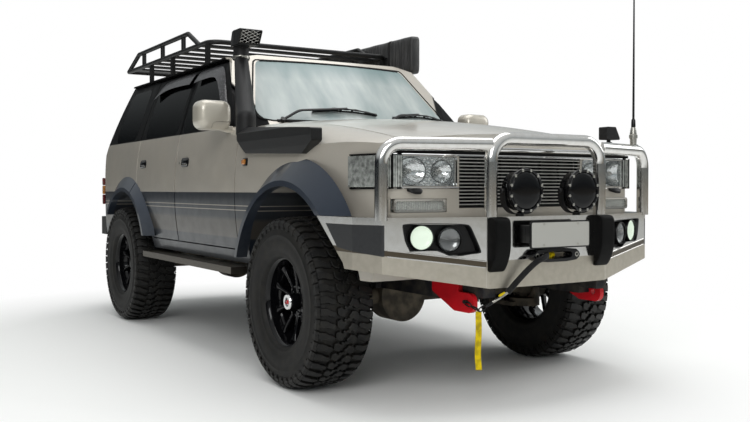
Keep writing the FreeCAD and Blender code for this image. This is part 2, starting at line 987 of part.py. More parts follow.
def bay_cavity():
    """Engine bay: narrow between the wheel houses, wide above them."""
    rear_x = behind(cowl_back - firewall_wall)
    front_x = ahead(bay_front_ahead)
    narrow = block(rear_x, front_x, -bay_half_lower, bay_half_lower, sill_z - overrun, bay_ledge_z)
    wide = block(rear_x, front_x, -bay_half_upper, bay_half_upper, bay_ledge_z, roof_crown_z)
    return narrow.fuse(wide).common(nose_loft(bonnet_skin))


def wheel_arch(x, z, radius, inner):
    """Round arch cut on both sides, from an inner wall outwards."""
    out = bulge_half + overrun
    left = cross_rod(x, z, inner, out, radius)
    return left.fuse(mirrored(left))


def front_arches(growth):
    """Front wheel arches, grown by a wall."""
    x = behind(front_arch_back)
    inner = bay_half_lower + house_wall
    return wheel_arch(x, front_arch_z, front_arch_radius + growth, inner - growth)


def rear_arches(growth):
    """Rear wheel arches, grown by a wall."""
    x = rear_axle_x + rear_arch_ahead
    return wheel_arch(x, rear_arch_z, rear_arch_radius + growth, rear_arch_inner - growth)


def door_ring(points, y, corner):
    """Door outline at one distance from the centre plane."""
    return rounded_ring([Vec(x, y, z) for x, z in points], corner)


def plug(points, tapers, corner, growth):
    """Right-hand door blank that widens outwards, so that its rear edge clears the pillar."""
    outer = grown(points, growth)
    inner = [(x + taper, z) for (x, z), taper in zip(outer, tapers)]
    rings = [door_ring(outer, -door_plug_out, corner), door_ring(inner, -door_plug_in, corner)]
    return Part.makeLoft(rings, True, True)


def grown(points, growth):
    """Outline offset outwards by a distance."""
    if not growth:
        return points
    ring = rounded_ring([Vec(x, 0, z) for x, z in points], 0)
    bigger = ring.makeOffset2D(growth, 2)
    corners = [vertex.Point for vertex in bigger.OrderedVertexes]
    nearest = []
    for x, z in points:
        here = Vec(x, 0, z)
        best = min(corners, key=lambda corner: corner.distanceToPoint(here))
        nearest.append((best.x, best.z))
    return nearest


front_door_points = [
    (behind(front_door_front), door_bottom_z),
    (behind(front_door_front), pillar_foot_z - door_corner),
    (behind(pillar_foot_back), pillar_foot_z),
    (behind(pillar_head_back), door_top_z),
    (behind(front_door_rear + pillar_lean), door_top_z),
    (behind(front_door_rear), door_knee_z),
    (behind(front_door_rear), door_bottom_z),
]
front_door_tapers = [0, 0, 0, 0, door_plug_taper, door_plug_taper, door_plug_taper]
rear_door_points = [
    (behind(front_door_rear), door_bottom_z),
    (behind(front_door_rear), door_knee_z),
    (behind(front_door_rear + pillar_lean / 2), door_top_z),
    (behind(rear_door_rear + pillar_lean / 2), door_top_z),
    (behind(rear_door_rear + pillar_lean / 4), door_knee_z),
    (behind(rear_door_rear), door_low_knee_z),
    (behind(rear_door_rear), door_bottom_z),
]
rear_door_tapers = [0, 0, 0, door_plug_taper, door_plug_taper, door_plug_taper, door_plug_taper]


def door_blanks(growth):
    """Front and rear door blanks on the right-hand side."""
    front = plug(front_door_points, front_door_tapers, 0, growth)
    pillar_base = block(behind(pillar_foot_back + 2 * window_frame), behind(cowl_back),
                        -bulge_half + door_wall + growth, 0, sill_z, screen_base_z)
    front = front.cut(pillar_base)
    rear = plug(rear_door_points, rear_door_tapers, 0, growth)
    arch_radius = rear_arch_radius + rear_door_arch_margin - growth
    spread = door_plug_taper / (door_plug_out - door_plug_in)
    outward, inward = door_plug_out - bulge_half + overrun, bulge_half - door_plug_in + overrun
    arch = Part.makeCone(arch_radius - spread * outward, arch_radius + spread * inward,
                         outward + inward, Vec(rear_axle_x + rear_arch_ahead,
                                               -door_plug_out - overrun, rear_arch_z), Vec(0, 1, 0))
    return front, rear.cut(arch)


def window_blank(points, corner):
    """Right-hand window opening as a prism across the door frame."""
    return side_prism(points, corner, -door_plug_out, -door_plug_in)


front_window_points = [
    (behind(pillar_foot_back + 2 * window_frame), window_base_z),
    (behind(pillar_head_back + window_frame), window_top_z),
    (behind(front_door_rear - window_frame), window_top_z),
    (behind(front_door_rear - window_frame), window_base_z),
]
rear_window_points = [
    (behind(front_door_rear + window_frame + panel_gap), window_base_z),
    (behind(front_door_rear + window_frame + panel_gap), window_top_z),
    (behind(rear_door_rear - 2 * window_frame), window_top_z),
    (behind(rear_door_rear - 2 * window_frame), window_base_z),
]
quarter_window_points = [
    (behind(quarter_front), window_base_z),
    (behind(quarter_front), window_top_z),
    (behind(quarter_rear_high), window_top_z),
    (behind(quarter_rear_low), window_base_z),
]


def tailgate_blank(base_z, head_z, half_low, half_high, tapers, growth):
    """Rear gate blank that widens rearwards."""
    tail_x = behind(rear_face_back + overrun)
    inner_x = behind(rear_roof_back - 2 * rear_wall)
    points = [(-half_low, base_z), (half_low, base_z), (half_high, head_z), (-half_high, head_z)]
    signs = [(-1, -1), (1, -1), (1, 1), (-1, 1)]
    outer, inner = [], []
    for (y, z), (side, rise), taper in zip(points, signs, tapers):
        outer.append(Vec(tail_x, y + side * growth, z + rise * growth))
        inner.append(Vec(inner_x, y + side * growth, z + rise * (growth - taper)))
    rings = [rounded_ring(outer, seat_gap), rounded_ring(inner, seat_gap)]
    return Part.makeLoft(rings, True, True)


def tailgate_blanks(growth):
    """Lower and upper gate blanks."""
    drop = tailgate_taper * 3
    lower = tailgate_blank(tailgate_base_z, tailgate_split_z - panel_gap, tailgate_half,
                           tailgate_half, [0, 0, drop, drop], growth)
    upper = tailgate_blank(tailgate_split_z + panel_gap, tailgate_head_z, tailgate_half,
                           tailgate_head_half, [-drop, -drop, 0, 0], growth)
    return lower, upper


def tailgate_window():
    """Opening for the rear window."""
    points = [
        (-tailgate_window_half, tailgate_window_base_z),
        (tailgate_window_half, tailgate_window_base_z),
        (tailgate_window_head_half, tailgate_window_head_z),
        (-tailgate_window_head_half, tailgate_window_head_z),
    ]
    return front_prism(points, window_corner, behind(rear_face_back + overrun),
                       behind(rear_roof_back - 2 * rear_wall))


def screen_blank(border):
    """Windscreen opening seen from the front."""
    points = [
        (-screen_base_half + border, screen_base_z + border),
        (screen_base_half - border, screen_base_z + border),
        (screen_head_half - border, screen_head_z - border),
        (-screen_head_half + border, screen_head_z - border),
    ]
    return front_prism(points, screen_corner, behind(screen_head_back + 2 * screen_base_bow),
                       behind(cowl_back))


def skin(outer_form, inset_form, blank):
    """Thin pane that follows a surface, inside an opening."""
    return outer_form.cut(inset_form).common(blank)


def under_boot():
    """Recess below the boot floor, over the rear axle and the tank."""
    return block(behind(rear_face_back - rear_wall), behind(boot_front_back), -boot_half, boot_half,
                 sill_z - overrun, boot_floor_z)


def centre_post():
    """Post between the front and the rear door, inside the edges of both."""
    zone = block(behind(post_rear_back), behind(post_front_back), -mirror_reach, -post_inner,
                 sill_z, roof_crown_z)
    face = cab_cavity()
    face.translate(Vec(0, post_clearance, 0))
    back = face.copy()
    back.translate(Vec(0, post_depth, 0))
    return face.common(zone).cut(back)


def rest_pads():
    """Rubber stops that the closed bonnet and the closed lower gate rest on."""
    pads = []
    top = bonnet_front_gap_z - seat_gap
    gate_x = behind(rear_face_back - rear_wall / 2)
    gate_top = tailgate_base_z - seat_gap
    for side in (-1, 1):
        for x in (ahead(pad_ahead), behind(pad_ahead)):
            pads.append(block(x, x + pad_length, side * pad_inner, side * pad_outer,
                              top - pad_length, top))
        pads.append(block(gate_x, gate_x + rear_wall / 4, side * gate_pad_half,
                          side * (gate_pad_half + pad_length), gate_top - pad_length, gate_top))
    return pads


def largest(shape):
    """The biggest solid of a shape."""
    return max(shape.Solids, key=lambda solid: solid.Volume)


def body_parts():
    """Cab, nose, doors, gates, bonnet and glass, cut from one form at the real panel gaps."""
    outer = cab_outer().fuse(nose_outer()).removeSplitter()
    houses = rear_arches(house_wall)
    outer = outer.cut(under_boot())
    for side in (-1, 1):
        outer = outer.fuse(block(behind(gutter_rear_back), behind(gutter_front_back),
                                 side * (gutter_half - pillar_bow), side * gutter_reach,
                                 gutter_z - gutter_drop, gutter_z + gutter_rise))
    raised = under_boot()
    raised.translate(Vec(0, 0, floor_wall))
    cavity = cab_cavity().cut([houses, raised])
    shell = outer.cut([cavity, bay_cavity(), front_arches(0), rear_arches(0)])
    pieces = {}

    bonnet_box = block(behind(bonnet_rear_back), ahead(nose_ahead + overrun), -bonnet_half,
                       bonnet_half, bonnet_front_gap_z, roof_crown_z)
    bonnet_hole = block(behind(bonnet_rear_back + panel_gap), ahead(nose_ahead + overrun),
                        -bonnet_half - panel_gap, bonnet_half + panel_gap,
                        bonnet_front_gap_z - panel_gap, roof_crown_z)
    pieces["bonnet"] = nose_outer().cut(nose_loft(bonnet_skin).common(
        block(behind(cowl_back), ahead(bay_front_ahead), -bay_half_upper, bay_half_upper,
              sill_z, roof_crown_z))).common(bonnet_box)
    rim_cut = block(behind(cowl_back), ahead(bay_front_ahead), -bonnet_half - panel_gap,
                    bonnet_half + panel_gap, bonnet_front_gap_z - panel_gap, roof_crown_z)
    shell = shell.cut(bonnet_hole.fuse(rim_cut).common(
        block(behind(bonnet_rear_back + panel_gap), ahead(nose_ahead + overrun), -bulge_half,
              bulge_half, sill_z, roof_crown_z)))

    front_blank, rear_blank = door_blanks(0)
    front_hole, rear_hole = door_blanks(panel_gap)
    pieces["door_front_right"] = shell.common(front_blank).cut(
        window_blank(front_window_points, window_corner))
    pieces["door_rear_right"] = shell.common(rear_blank).cut(rear_hole_edge(front_blank)).cut(
        window_blank(rear_window_points, window_corner))
    lower_blank, upper_blank = tailgate_blanks(0)
    lower_hole, upper_hole = tailgate_blanks(panel_gap)
    pieces["tailgate_lower"] = largest(shell.common(lower_blank))
    pieces["tailgate_upper"] = shell.common(upper_blank).cut(tailgate_window())
    quarter = window_blank(quarter_window_points, quarter_corner)
    body = shell.cut([front_hole, mirrored(front_hole), rear_hole, mirrored(rear_hole),
                      lower_hole, upper_hole, quarter, mirrored(quarter), screen_blank(0)])
    post = centre_post()
    pieces["body_shell"] = fused([body, post, mirrored(post)] + rest_pads())

    side_form = face_prism(cab_section(behind(rear_face_back)), Vec(rear_face_back, 0, 0))
    inner_form = side_form.copy()
    inner_form.translate(Vec(0, glass_thickness, 0))
    pieces["door_glass_front_right"] = skin(side_form, inner_form,
                                            window_blank(front_window_points, window_corner))
    pieces["door_glass_rear_right"] = skin(side_form, inner_form,
                                           window_blank(rear_window_points, window_corner))
    quarter_glass = skin(side_form, inner_form, quarter)
    screen = skin(behind_screen(0), behind_screen(glass_thickness), screen_blank(0))
    pieces["fixed_glass"] = Part.makeCompound([screen, quarter_glass, mirrored(quarter_glass)])
    pieces["tailgate_glass"] = skin(cab_profile(0), cab_profile(glass_thickness),
                                    tailgate_window())
    return pieces, outer


def rear_hole_edge(front_blank):
    """Space that the front door's blank and its gap take from the rear door."""
    moved = front_blank.copy()
    moved.translate(Vec(-panel_gap, 0, 0))
    return moved.fuse(front_blank)


def spun(profile, centre, axis):
    """Closed profile of (axial, radial) pairs turned about an axis across the vehicle."""
    points = [Vec(centre.x, centre.y + axis * a, centre.z + r) for a, r in profile]
    ring = rounded_ring(points, 0)
    turned = Part.Face(ring).revolve(centre, Vec(0, 1, 0), 360)
    return Part.Solid(turned.Shells[0]) if turned.ShapeType != "Solid" else turned


def tyre(centre, side):
    """Tyre with rounded shoulders out to the tips of its lugs."""
    half = tyre_width / 2
    points = [
        (-rim_width / 2, bead_radius),
        (-half, (bead_radius + tyre_radius) / 2 + sidewall_bulge),
        (-half, tyre_radius - tyre_shoulder),
        (-half + tyre_shoulder / 2, tyre_radius - sidewall_bulge),
        (-half + tyre_shoulder, tyre_radius),
        (half - tyre_shoulder, tyre_radius),
        (half - tyre_shoulder / 2, tyre_radius - sidewall_bulge),
        (half, tyre_radius - tyre_shoulder),
        (half, (bead_radius + tyre_radius) / 2 + sidewall_bulge),
        (rim_width / 2, bead_radius),
    ]
    return spun(points, centre, side)


def rim(centre, side, lock):
    """Alloy wheel: barrel with a dropped well, ten spokes, a hub disc and a hub."""
    half = rim_width / 2
    well = bead_radius - rim_drop
    inner_well = well - rim_wall
    inner_bead = bead_radius - rim_wall
    lip = rim_lip_height
    barrel_points = [
        (-half, inner_bead), (-half + lip, inner_bead), (-half + rim_drop + lip, inner_well),
        (half - rim_drop - lip, inner_well), (half - lip, inner_bead), (half, inner_bead),
        (half, bead_radius), (half - lip, bead_radius), (half - rim_drop - lip, well),
        (-half + rim_drop + lip, well), (-half + lip, bead_radius), (-half, bead_radius),
    ]
    pieces = [spun(barrel_points, centre, side)]
    disc_face = half - rim_face_inset
    disc_back = disc_face - hub_disc_depth
    start = centre + Vec(0, side * disc_back, 0)
    out = Vec(0, side, 0)
    pieces.append(Part.makeCylinder(hub_disc_radius, hub_disc_depth, start, out))
    spoke_length = well - rim_wall / 2 - hub_disc_radius / 2
    for i in range(spoke_count):
        bar = Part.makeBox(spoke_length, spoke_depth, spoke_width)
        low = Vec(hub_disc_radius / 2, -spoke_depth / 2, -spoke_width / 2)
        bar.translate(low + centre + Vec(0, side * (disc_face - spoke_depth / 2), 0))
        bar.rotate(centre, Vec(0, 1, 0), 360 * (i + 1 / 2) / spoke_count)
        pieces.append(bar)
    pieces.append(Part.makeCylinder(lock, lock_length, start, out))
    whole = fused(pieces)
    bore_depth = hub_disc_depth + lock_length
    bore = Part.makeCylinder(spindle_radius + seat_gap, bore_depth / 2, start, out)
    return whole.cut(bore)


def knuckle(side):
    """Steering knuckle: a cup round the axle ball, a hub flange and a spindle."""
    pin = Vec(front_axle_x, side * king_pin_y, axle_z)
    body = Part.makeCylinder(knuckle_radius, knuckle_height, pin - Vec(0, 0, knuckle_height / 2))
    wheel_y = side * front_half_track
    flange_y = wheel_y + side * (rim_width / 2 - rim_face_inset - hub_disc_depth - seat_gap)
    body = body.fuse(cross_rod(pin.x, pin.z, pin.y, flange_y, knuckle_flange_radius))
    tip_y = flange_y + side * (hub_disc_depth + lock_length) / 2
    body = body.fuse(cross_rod(pin.x, pin.z, pin.y, tip_y - side * seat_gap, spindle_radius))
    arm_y = pin.y - side * steering_arm_inset
    arm_z = pin.z - knuckle_height / 2
    arm = block(pin.x - steering_arm_length, pin.x + steering_arm_width / 2, arm_y,
                arm_y - side * steering_arm_width, arm_z, arm_z + steering_arm_depth)
    root = block(pin.x - steering_arm_width, pin.x + steering_arm_width / 2, pin.y, arm_y,
                 arm_z, arm_z + steering_arm_depth)
    body = body.fuse([arm, root])
    space = Part.makeSphere(knuckle_cup_radius, pin)
    mouth = block(pin.x - knuckle_radius, pin.x + knuckle_radius,
                  pin.y - side * (knuckle_radius + overrun), pin.y - side * knuckle_clearance,
                  pin.z - knuckle_cup_radius, pin.z + knuckle_cup_radius)
    pins = Part.makeCylinder(spindle_radius + seat_gap, knuckle_height,
                             pin - Vec(0, 0, knuckle_height / 2))
    return body.cut([space, mouth, pins.cut(hub_zone(pin, side))]).removeSplitter()


def hub_zone(pin, side):
    """Solid outboard part of the knuckle that the king pins don't reach."""
    return block(pin.x - knuckle_radius, pin.x + knuckle_radius, pin.y + side * knuckle_cup_radius,
                 pin.y + side * knuckle_height, pin.z - knuckle_height, pin.z + knuckle_height)


def coil(x, y, z0, z1):
    """Coil spring as the tube of its outer shape, with its telescopic damper behind it."""
    spring = Part.makeCylinder(coil_radius, z1 - z0, Vec(x, y, z0))
    core = Part.makeCylinder(coil_radius - coil_wire * 2, z1 - z0, Vec(x, y, z0))
    return spring.cut(core)


def front_axle():
    """Front axle: tube, offset differential, axle balls with king pins, arms and coils."""
    tube = cross_rod(front_axle_x, axle_z, -king_pin_y, king_pin_y, axle_tube_radius)
    cover = rod(Vec(front_axle_x - diff_width / 2, -diff_offset, axle_z),
                Vec(front_axle_x + diff_width / 2, -diff_offset, axle_z), diff_radius)
    nose = rod(Vec(front_axle_x - diff_nose_length, -diff_offset, axle_z),
               Vec(front_axle_x, -diff_offset, axle_z), diff_nose_radius)
    pieces = [tube, cover, nose]
    ball_radius = knuckle_cup_radius - knuckle_clearance
    for side in (-1, 1):
        pin = Vec(front_axle_x, side * king_pin_y, axle_z)
        pieces.append(Part.makeSphere(ball_radius, pin))
        pin_height = knuckle_height - 2 * knuckle_clearance
        pieces.append(Part.makeCylinder(spindle_radius, pin_height, pin - Vec(0, 0, pin_height / 2)))
        arm_z0 = axle_z - arm_height / 2
        pieces.append(block(front_axle_x - arm_length, front_axle_x, side * arm_half,
                            side * (arm_half + arm_width), arm_z0, arm_z0 + arm_height))
        pieces.append(coil(front_axle_x, side * coil_half, axle_z, tower_z))
    beside = rail_outer - rail_width - knuckle_clearance
    above = block(front_axle_x - diff_width, front_axle_x + diff_width, -rail_outer - diff_radius,
                  -beside, rail_base_z - knuckle_clearance, tower_z)
    return fused([fused(pieces[:3]).cut(above)] + pieces[3:])


def rear_axle():
    """Rear axle: tube, central differential, hub flanges with spindles, arms and coils."""
    tube = cross_rod(rear_axle_x, axle_z, -king_pin_y, king_pin_y, axle_tube_radius)
    cover = rod(Vec(rear_axle_x - diff_width / 2, 0, axle_z),
                Vec(rear_axle_x + diff_width / 2, 0, axle_z), rear_diff_radius)
    nose = rod(Vec(rear_axle_x, 0, axle_z), Vec(rear_axle_x + diff_nose_length, 0, axle_z),
               diff_nose_radius)
    pieces = [tube, cover, nose]
    for side in (-1, 1):
        face = rear_half_track + rim_width / 2 - rim_face_inset - hub_disc_depth - seat_gap
        flange = cross_rod(rear_axle_x, axle_z, side * king_pin_y, side * face, hub_flange_radius)
        tip = face + (hub_disc_depth + lock_length) / 2 - seat_gap
        pieces.append(flange)
        pieces.append(cross_rod(rear_axle_x, axle_z, side * king_pin_y, side * tip, spindle_radius))
        arm_z0 = axle_z - arm_height / 2
        pieces.append(block(rear_axle_x, rear_axle_x + arm_length, side * arm_half,
                            side * (arm_half + arm_width), arm_z0, arm_z0 + arm_height))
        pieces.append(coil(rear_axle_x, side * coil_half, axle_z, boot_floor_z - seat_gap))
    return fused(pieces)


def chassis():
    """Ladder frame: two rails, cross members, arm brackets and front spring towers."""
    rail_top = rail_base_z + rail_height
    pieces = []
    for side in (-1, 1):
        inner = side * (rail_outer - rail_width)
        rail = block(behind(rail_rear_back), ahead(rail_front_ahead), inner, side * rail_outer,
                     rail_base_z, rail_top)
        room = block(ahead(recovery_eye_ahead - 2 * recovery_eye_radius), ahead(rail_front_ahead),
                     inner, side * rail_outer, rail_base_z,
                     recovery_eye_z + 2 * recovery_eye_radius)
        pieces.append(rail.cut(room))
        for station in (front_axle_x - arm_length, rear_axle_x + arm_length):
            pieces.append(block(station, station + cross_member_width, side * arm_half,
                                side * rail_outer, axle_z + arm_height / 2 + seat_gap, rail_top))
        wall = side * (rail_outer + rail_width / 2)
        width = coil_radius + rail_width / 4
        out = side * (coil_half + width)
        pieces.append(block(front_axle_x - width, front_axle_x + width, side * rail_outer,
                            wall, rail_base_z, rail_top - tower_plate))
        pieces.append(block(front_axle_x - width, front_axle_x + width, side * bracket_inner,
                            wall, rail_base_z, tower_z + tower_plate))
        pieces.append(block(front_axle_x - width, front_axle_x + width, side * bracket_inner,
                            out, tower_z, tower_z + tower_plate))
    stations = [ahead(distance) for distance in cross_member_aheads]
    stations += [behind(wheelbase * share) for share in cross_member_shares]
    for x in stations:
        pieces.append(block(x - cross_member_width / 2, x + cross_member_width / 2, -rail_outer,
                            rail_outer, rail_top - rail_height / 2, rail_top))
    return fused(pieces)


def driveline():
    """Transfer case, prop shafts, exhaust with its silencer, and the fuel tank."""
    case_rear = behind(transfer_back + transfer_length)
    case = block(case_rear, behind(transfer_back), -transfer_half, transfer_half,
                 transfer_base_z, rail_base_z + rail_height / 2 - seat_gap)
    front_shaft = rod(Vec(behind(transfer_back), -transfer_half + shaft_radius, axle_z + shaft_radius),
                      Vec(front_axle_x - diff_nose_length, -diff_offset, axle_z), shaft_radius)
    rear_shaft = rod(Vec(case_rear, 0, axle_z + shaft_radius),
                     Vec(rear_axle_x + diff_nose_length, 0, axle_z), shaft_radius)
    drive = fused([case, front_shaft, rear_shaft])
    pipe = [
        Vec(behind(exhaust_front_back), engine_half - exhaust_radius, engine_top_z - 4 * rail_height),
        Vec(behind(exhaust_front_back), exhaust_half, exhaust_low_z),
        Vec(behind(exhaust_rise_back), exhaust_half, exhaust_low_z),
        Vec(behind(exhaust_top_front_back), exhaust_half, exhaust_high_z),
        Vec(behind(exhaust_top_rear_back), exhaust_half, exhaust_high_z),
        Vec(behind(exhaust_fall_back), exhaust_half, exhaust_low_z),
        Vec(behind(exhaust_end_back), exhaust_half, exhaust_low_z),
    ]
    bend = exhaust_bend
    exhaust = bent_tube(pipe, [0, bend, bend, bend, bend, bend, 0], exhaust_radius)
    silencer = rod(Vec(behind(silencer_back + silencer_length), exhaust_half, exhaust_low_z),
                   Vec(behind(silencer_back), exhaust_half, exhaust_low_z), silencer_radius)
    tank = block(behind(tank_rear_back), behind(tank_front_back), -tank_right_half, tank_left_half,
                 tank_base_z, boot_floor_z - seat_gap)
    tank = tank.makeFillet(tank_corner, tank.Edges)
    drive = drive.cut([front_axle(), rear_axle()])
    exhaust = exhaust.fuse(silencer).cut(engine())
    return Part.makeCompound([drive, exhaust, tank])


def antenna():
    """Whip aerial on a sprung base at the left end of the bull bar."""
    foot = Vec(ahead(antenna_ahead), antenna_half, outer_hoop_top_z + hoop_radius + 2 * seat_gap)
    spring_top = foot + Vec(0, 0, antenna_spring_height)
    tip = Vec(foot.x, foot.y, antenna_top_z)
    return fused([rod(foot, spring_top, antenna_spring_radius),
                  rod(spring_top, tip, antenna_whip_radius)])


def bar_plan(inset):
    """Plan of the bull bar's pan, its front moved back by an inset."""
    front = [
        (ahead(bar_end_ahead), -bar_end_half + inset),
        (ahead(bar_corner_ahead - inset), -bar_corner_half + inset),
        (ahead(bar_shoulder_ahead - inset), -bar_shoulder_half + inset),
        (ahead(bar_mid_ahead - inset), -bar_mid_half),
        (ahead(bar_front_ahead - inset), -fairlead_half),
    ]
    back_x = ahead(bar_end_ahead)
    points = front + [(x, -y) for x, y in reversed(front)]
    points += [(back_x, -bar_end_half + inset)] if inset < 0 else []
    return plan_prism(points, 0, bar_base_z - overrun, bar_top_z + overrun)


def bull_bar():
    """Alloy bull bar: folded pan with lamp pockets, and three welded hoops."""
    slab = bar_plan(0).common(block(front_axle_x, ahead(front_overhang), -mirror_reach,
                                    mirror_reach, bar_base_z, bar_top_z))
    slab = slab.cut(nose_plan(-bar_body_gap))
    hollow = bar_plan(bar_wall).common(block(
        ahead(bar_corner_ahead), ahead(front_overhang), -bar_shoulder_half, bar_shoulder_half,
        bar_base_z - overrun, bar_top_z - bar_wall))
    slab = slab.cut(hollow)
    lamp_rows = []
    for side in (-1, 1):
        under = front_prism([(side * bar_mid_half, bar_base_z), (side * mirror_reach, bar_wing_base_z),
                             (side * mirror_reach, bar_base_z - overrun),
                             (side * bar_mid_half, bar_base_z - overrun)], 0,
                            front_axle_x, ahead(front_overhang + overrun))
        tail = side_prism([(ahead(bar_end_ahead), bar_top_z), (ahead(bar_end_cut_ahead), bar_wing_base_z),
                           (ahead(bar_corner_ahead), bar_base_z - overrun),
                           (front_axle_x, bar_base_z - overrun), (front_axle_x, bar_top_z)], 0,
                          side * bar_mid_half, side * mirror_reach)
        slab = slab.cut([under, tail])
        lamp_width, lamp_height = bar_lamp_outer - bar_lamp_inner, bar_lamp_top_z - bar_lamp_base_z
        band = front_prism([(side * (bar_lamp_inner + across * lamp_width),
                             bar_lamp_base_z + up * lamp_height) for across, up in pocket_shares],
                           0, ahead(bar_corner_ahead), ahead(front_overhang))
        housing = block(ahead(bar_corner_ahead), ahead(front_overhang),
                        side * (bar_lamp_inner - bar_wall / 2), side * (bar_lamp_outer + bar_wall / 2),
                        bar_lamp_base_z - bar_wall / 2, bar_lamp_top_z + bar_wall / 2)
        depth = bar_plan(0).cut(bar_plan(bar_lamp_depth))
        back = bar_plan(0).cut(bar_plan(bar_lamp_depth + bar_wall / 2)).common(housing)
        slab = slab.fuse(back).cut(depth.common(band))
        for half in (bright_lamp_half, dark_lamp_half):
            barrel = rod(Vec(ahead(bar_corner_ahead), side * half, fog_lamp_z),
                         Vec(ahead(front_overhang), side * half, fog_lamp_z), fog_lamp_radius)
            lamp_rows.append(barrel.common(depth))
    window = block(ahead(bar_corner_ahead), ahead(front_overhang), -line_window_half,
                   line_window_half, fairlead_base_z + bar_wall / 2, fairlead_top_z - bar_wall / 2)
    slab = slab.cut(window)
    root_z = bar_top_z - bar_wall / 2
    centre = [Vec(ahead(centre_hoop_ahead), side * centre_hoop_half, z) for side, z in
              ((-1, root_z), (-1, centre_hoop_top_z), (1, centre_hoop_top_z), (1, root_z))]
    pieces = [slab, bent_tube(centre, [0, centre_hoop_bend, centre_hoop_bend, 0], hoop_radius)]
    for side in (-1, 1):
        outer = [Vec(ahead(outer_hoop_ahead), side * outer_hoop_half, root_z),
                 Vec(ahead(outer_hoop_ahead), side * outer_hoop_half, outer_hoop_top_z),
                 Vec(ahead(centre_hoop_ahead), side * centre_hoop_half, outer_hoop_top_z)]
        pieces.append(bent_tube(outer, [0, outer_hoop_bend, 0], hoop_radius))
    tab_z = outer_hoop_top_z + hoop_radius
    half_tab = antenna_foot_width / 2
    pieces.append(block(ahead(antenna_ahead - half_tab), ahead(antenna_ahead + half_tab),
                        antenna_half - half_tab, antenna_half + half_tab,
                        tab_z - hoop_radius / 2, tab_z + seat_gap))
    return fused(pieces), lamp_rows


def buffers():
    """Two rubber buffers over the joints of the pan."""
    low = buffer_half - buffer_width / 2
    points = [(ahead(bar_mid_ahead), buffer_base_z), (ahead(buffer_front_ahead), buffer_base_z),
              (ahead(buffer_front_ahead), buffer_top_z), (ahead(bar_mid_ahead), buffer_top_z)]
    strip = side_prism(points, buffer_corner, -low - buffer_width, -low)
    hoop = rod(Vec(ahead(centre_hoop_ahead), -centre_hoop_half, buffer_base_z),
               Vec(ahead(centre_hoop_ahead), -centre_hoop_half, bar_top_z), hoop_radius + seat_gap)
    return strip.cut([bar_plan(0), hoop])


def driving_lamps(fog_lamps):
    """Round driving lamps on brackets above the pan, and the fog lamps in its pockets."""
    pieces = []
    back = driving_lamp_front_ahead - driving_lamp_depth
    for side in (-1, 1):
        y = side * driving_lamp_half
        body = rod(Vec(ahead(back), y, driving_lamp_z),
                   Vec(ahead(driving_lamp_front_ahead), y, driving_lamp_z), driving_lamp_radius)
        foot = block(ahead(back), ahead(back + lamp_bracket_width), y - lamp_bracket_width / 2,
                     y + lamp_bracket_width / 2, bar_top_z, driving_lamp_z)
        pieces.append(fused([body, foot]))
    return Part.makeCompound(pieces + fog_lamps)


def fairlead():
    """Hawse fairlead with its slot and bolt holes, and the blank number plate above it."""
    face_x = ahead(bar_front_ahead)
    front_x = face_x + fairlead_depth
    body = block(face_x, front_x, -fairlead_half, fairlead_half, fairlead_base_z, fairlead_top_z)
    middle_z = (fairlead_base_z + fairlead_top_z) / 2
    slot = front_prism([(-fairlead_slot_half, middle_z - fairlead_slot_height / 2),
                        (fairlead_slot_half, middle_z - fairlead_slot_height / 2),
                        (fairlead_slot_half, middle_z + fairlead_slot_height / 2),
                        (-fairlead_slot_half, middle_z + fairlead_slot_height / 2)],
                       fairlead_slot_height / 3, face_x, front_x)
    bolts = [rod(Vec(face_x, y, middle_z), Vec(front_x, y, middle_z), fairlead_hole_radius)
             for y in (-fairlead_hole_half, fairlead_hole_half)]
    body = body.cut([slot] + bolts)
    plate_back = ahead(front_overhang) - plate_thickness
    plate = block(plate_back, plate_back + plate_thickness, -plate_half, plate_half,
                  plate_base_z, plate_top_z)
    bracket = block(face_x, plate_back, -plate_bracket_width / 2, plate_bracket_width / 2,
                    fairlead_top_z, plate_top_z - plate_bracket_width / 2)
    return fused([body, plate, bracket])


def recovery_points():
    """Two flat recovery plates bolted outside the rails, each with one eye."""
    inner, outer = rail_outer, rail_outer + recovery_thickness
    outline = [(recovery_rear_ahead, recovery_top_z), (recovery_rear_ahead, recovery_heel_z),
               (recovery_foot_ahead, recovery_base_z), (recovery_front_ahead, recovery_base_z),
               (recovery_front_ahead, recovery_lobe_top_z),
               (recovery_neck_ahead, recovery_lobe_top_z), (recovery_neck_ahead, recovery_top_z)]
    radii = [0, recovery_corner, recovery_corner, recovery_lobe_radius, recovery_lobe_radius,
             recovery_corner / 2, 0]
    edge = rounded_path([Vec(ahead(reach), -inner, z) for reach, z in outline], radii, True)
    plate = face_prism(edge, Vec(0, inner - outer, 0))
    eye = cross_rod(ahead(recovery_eye_ahead), recovery_eye_z, -inner + overrun, -outer - overrun,
                    recovery_eye_radius)
    return plate.cut(eye)


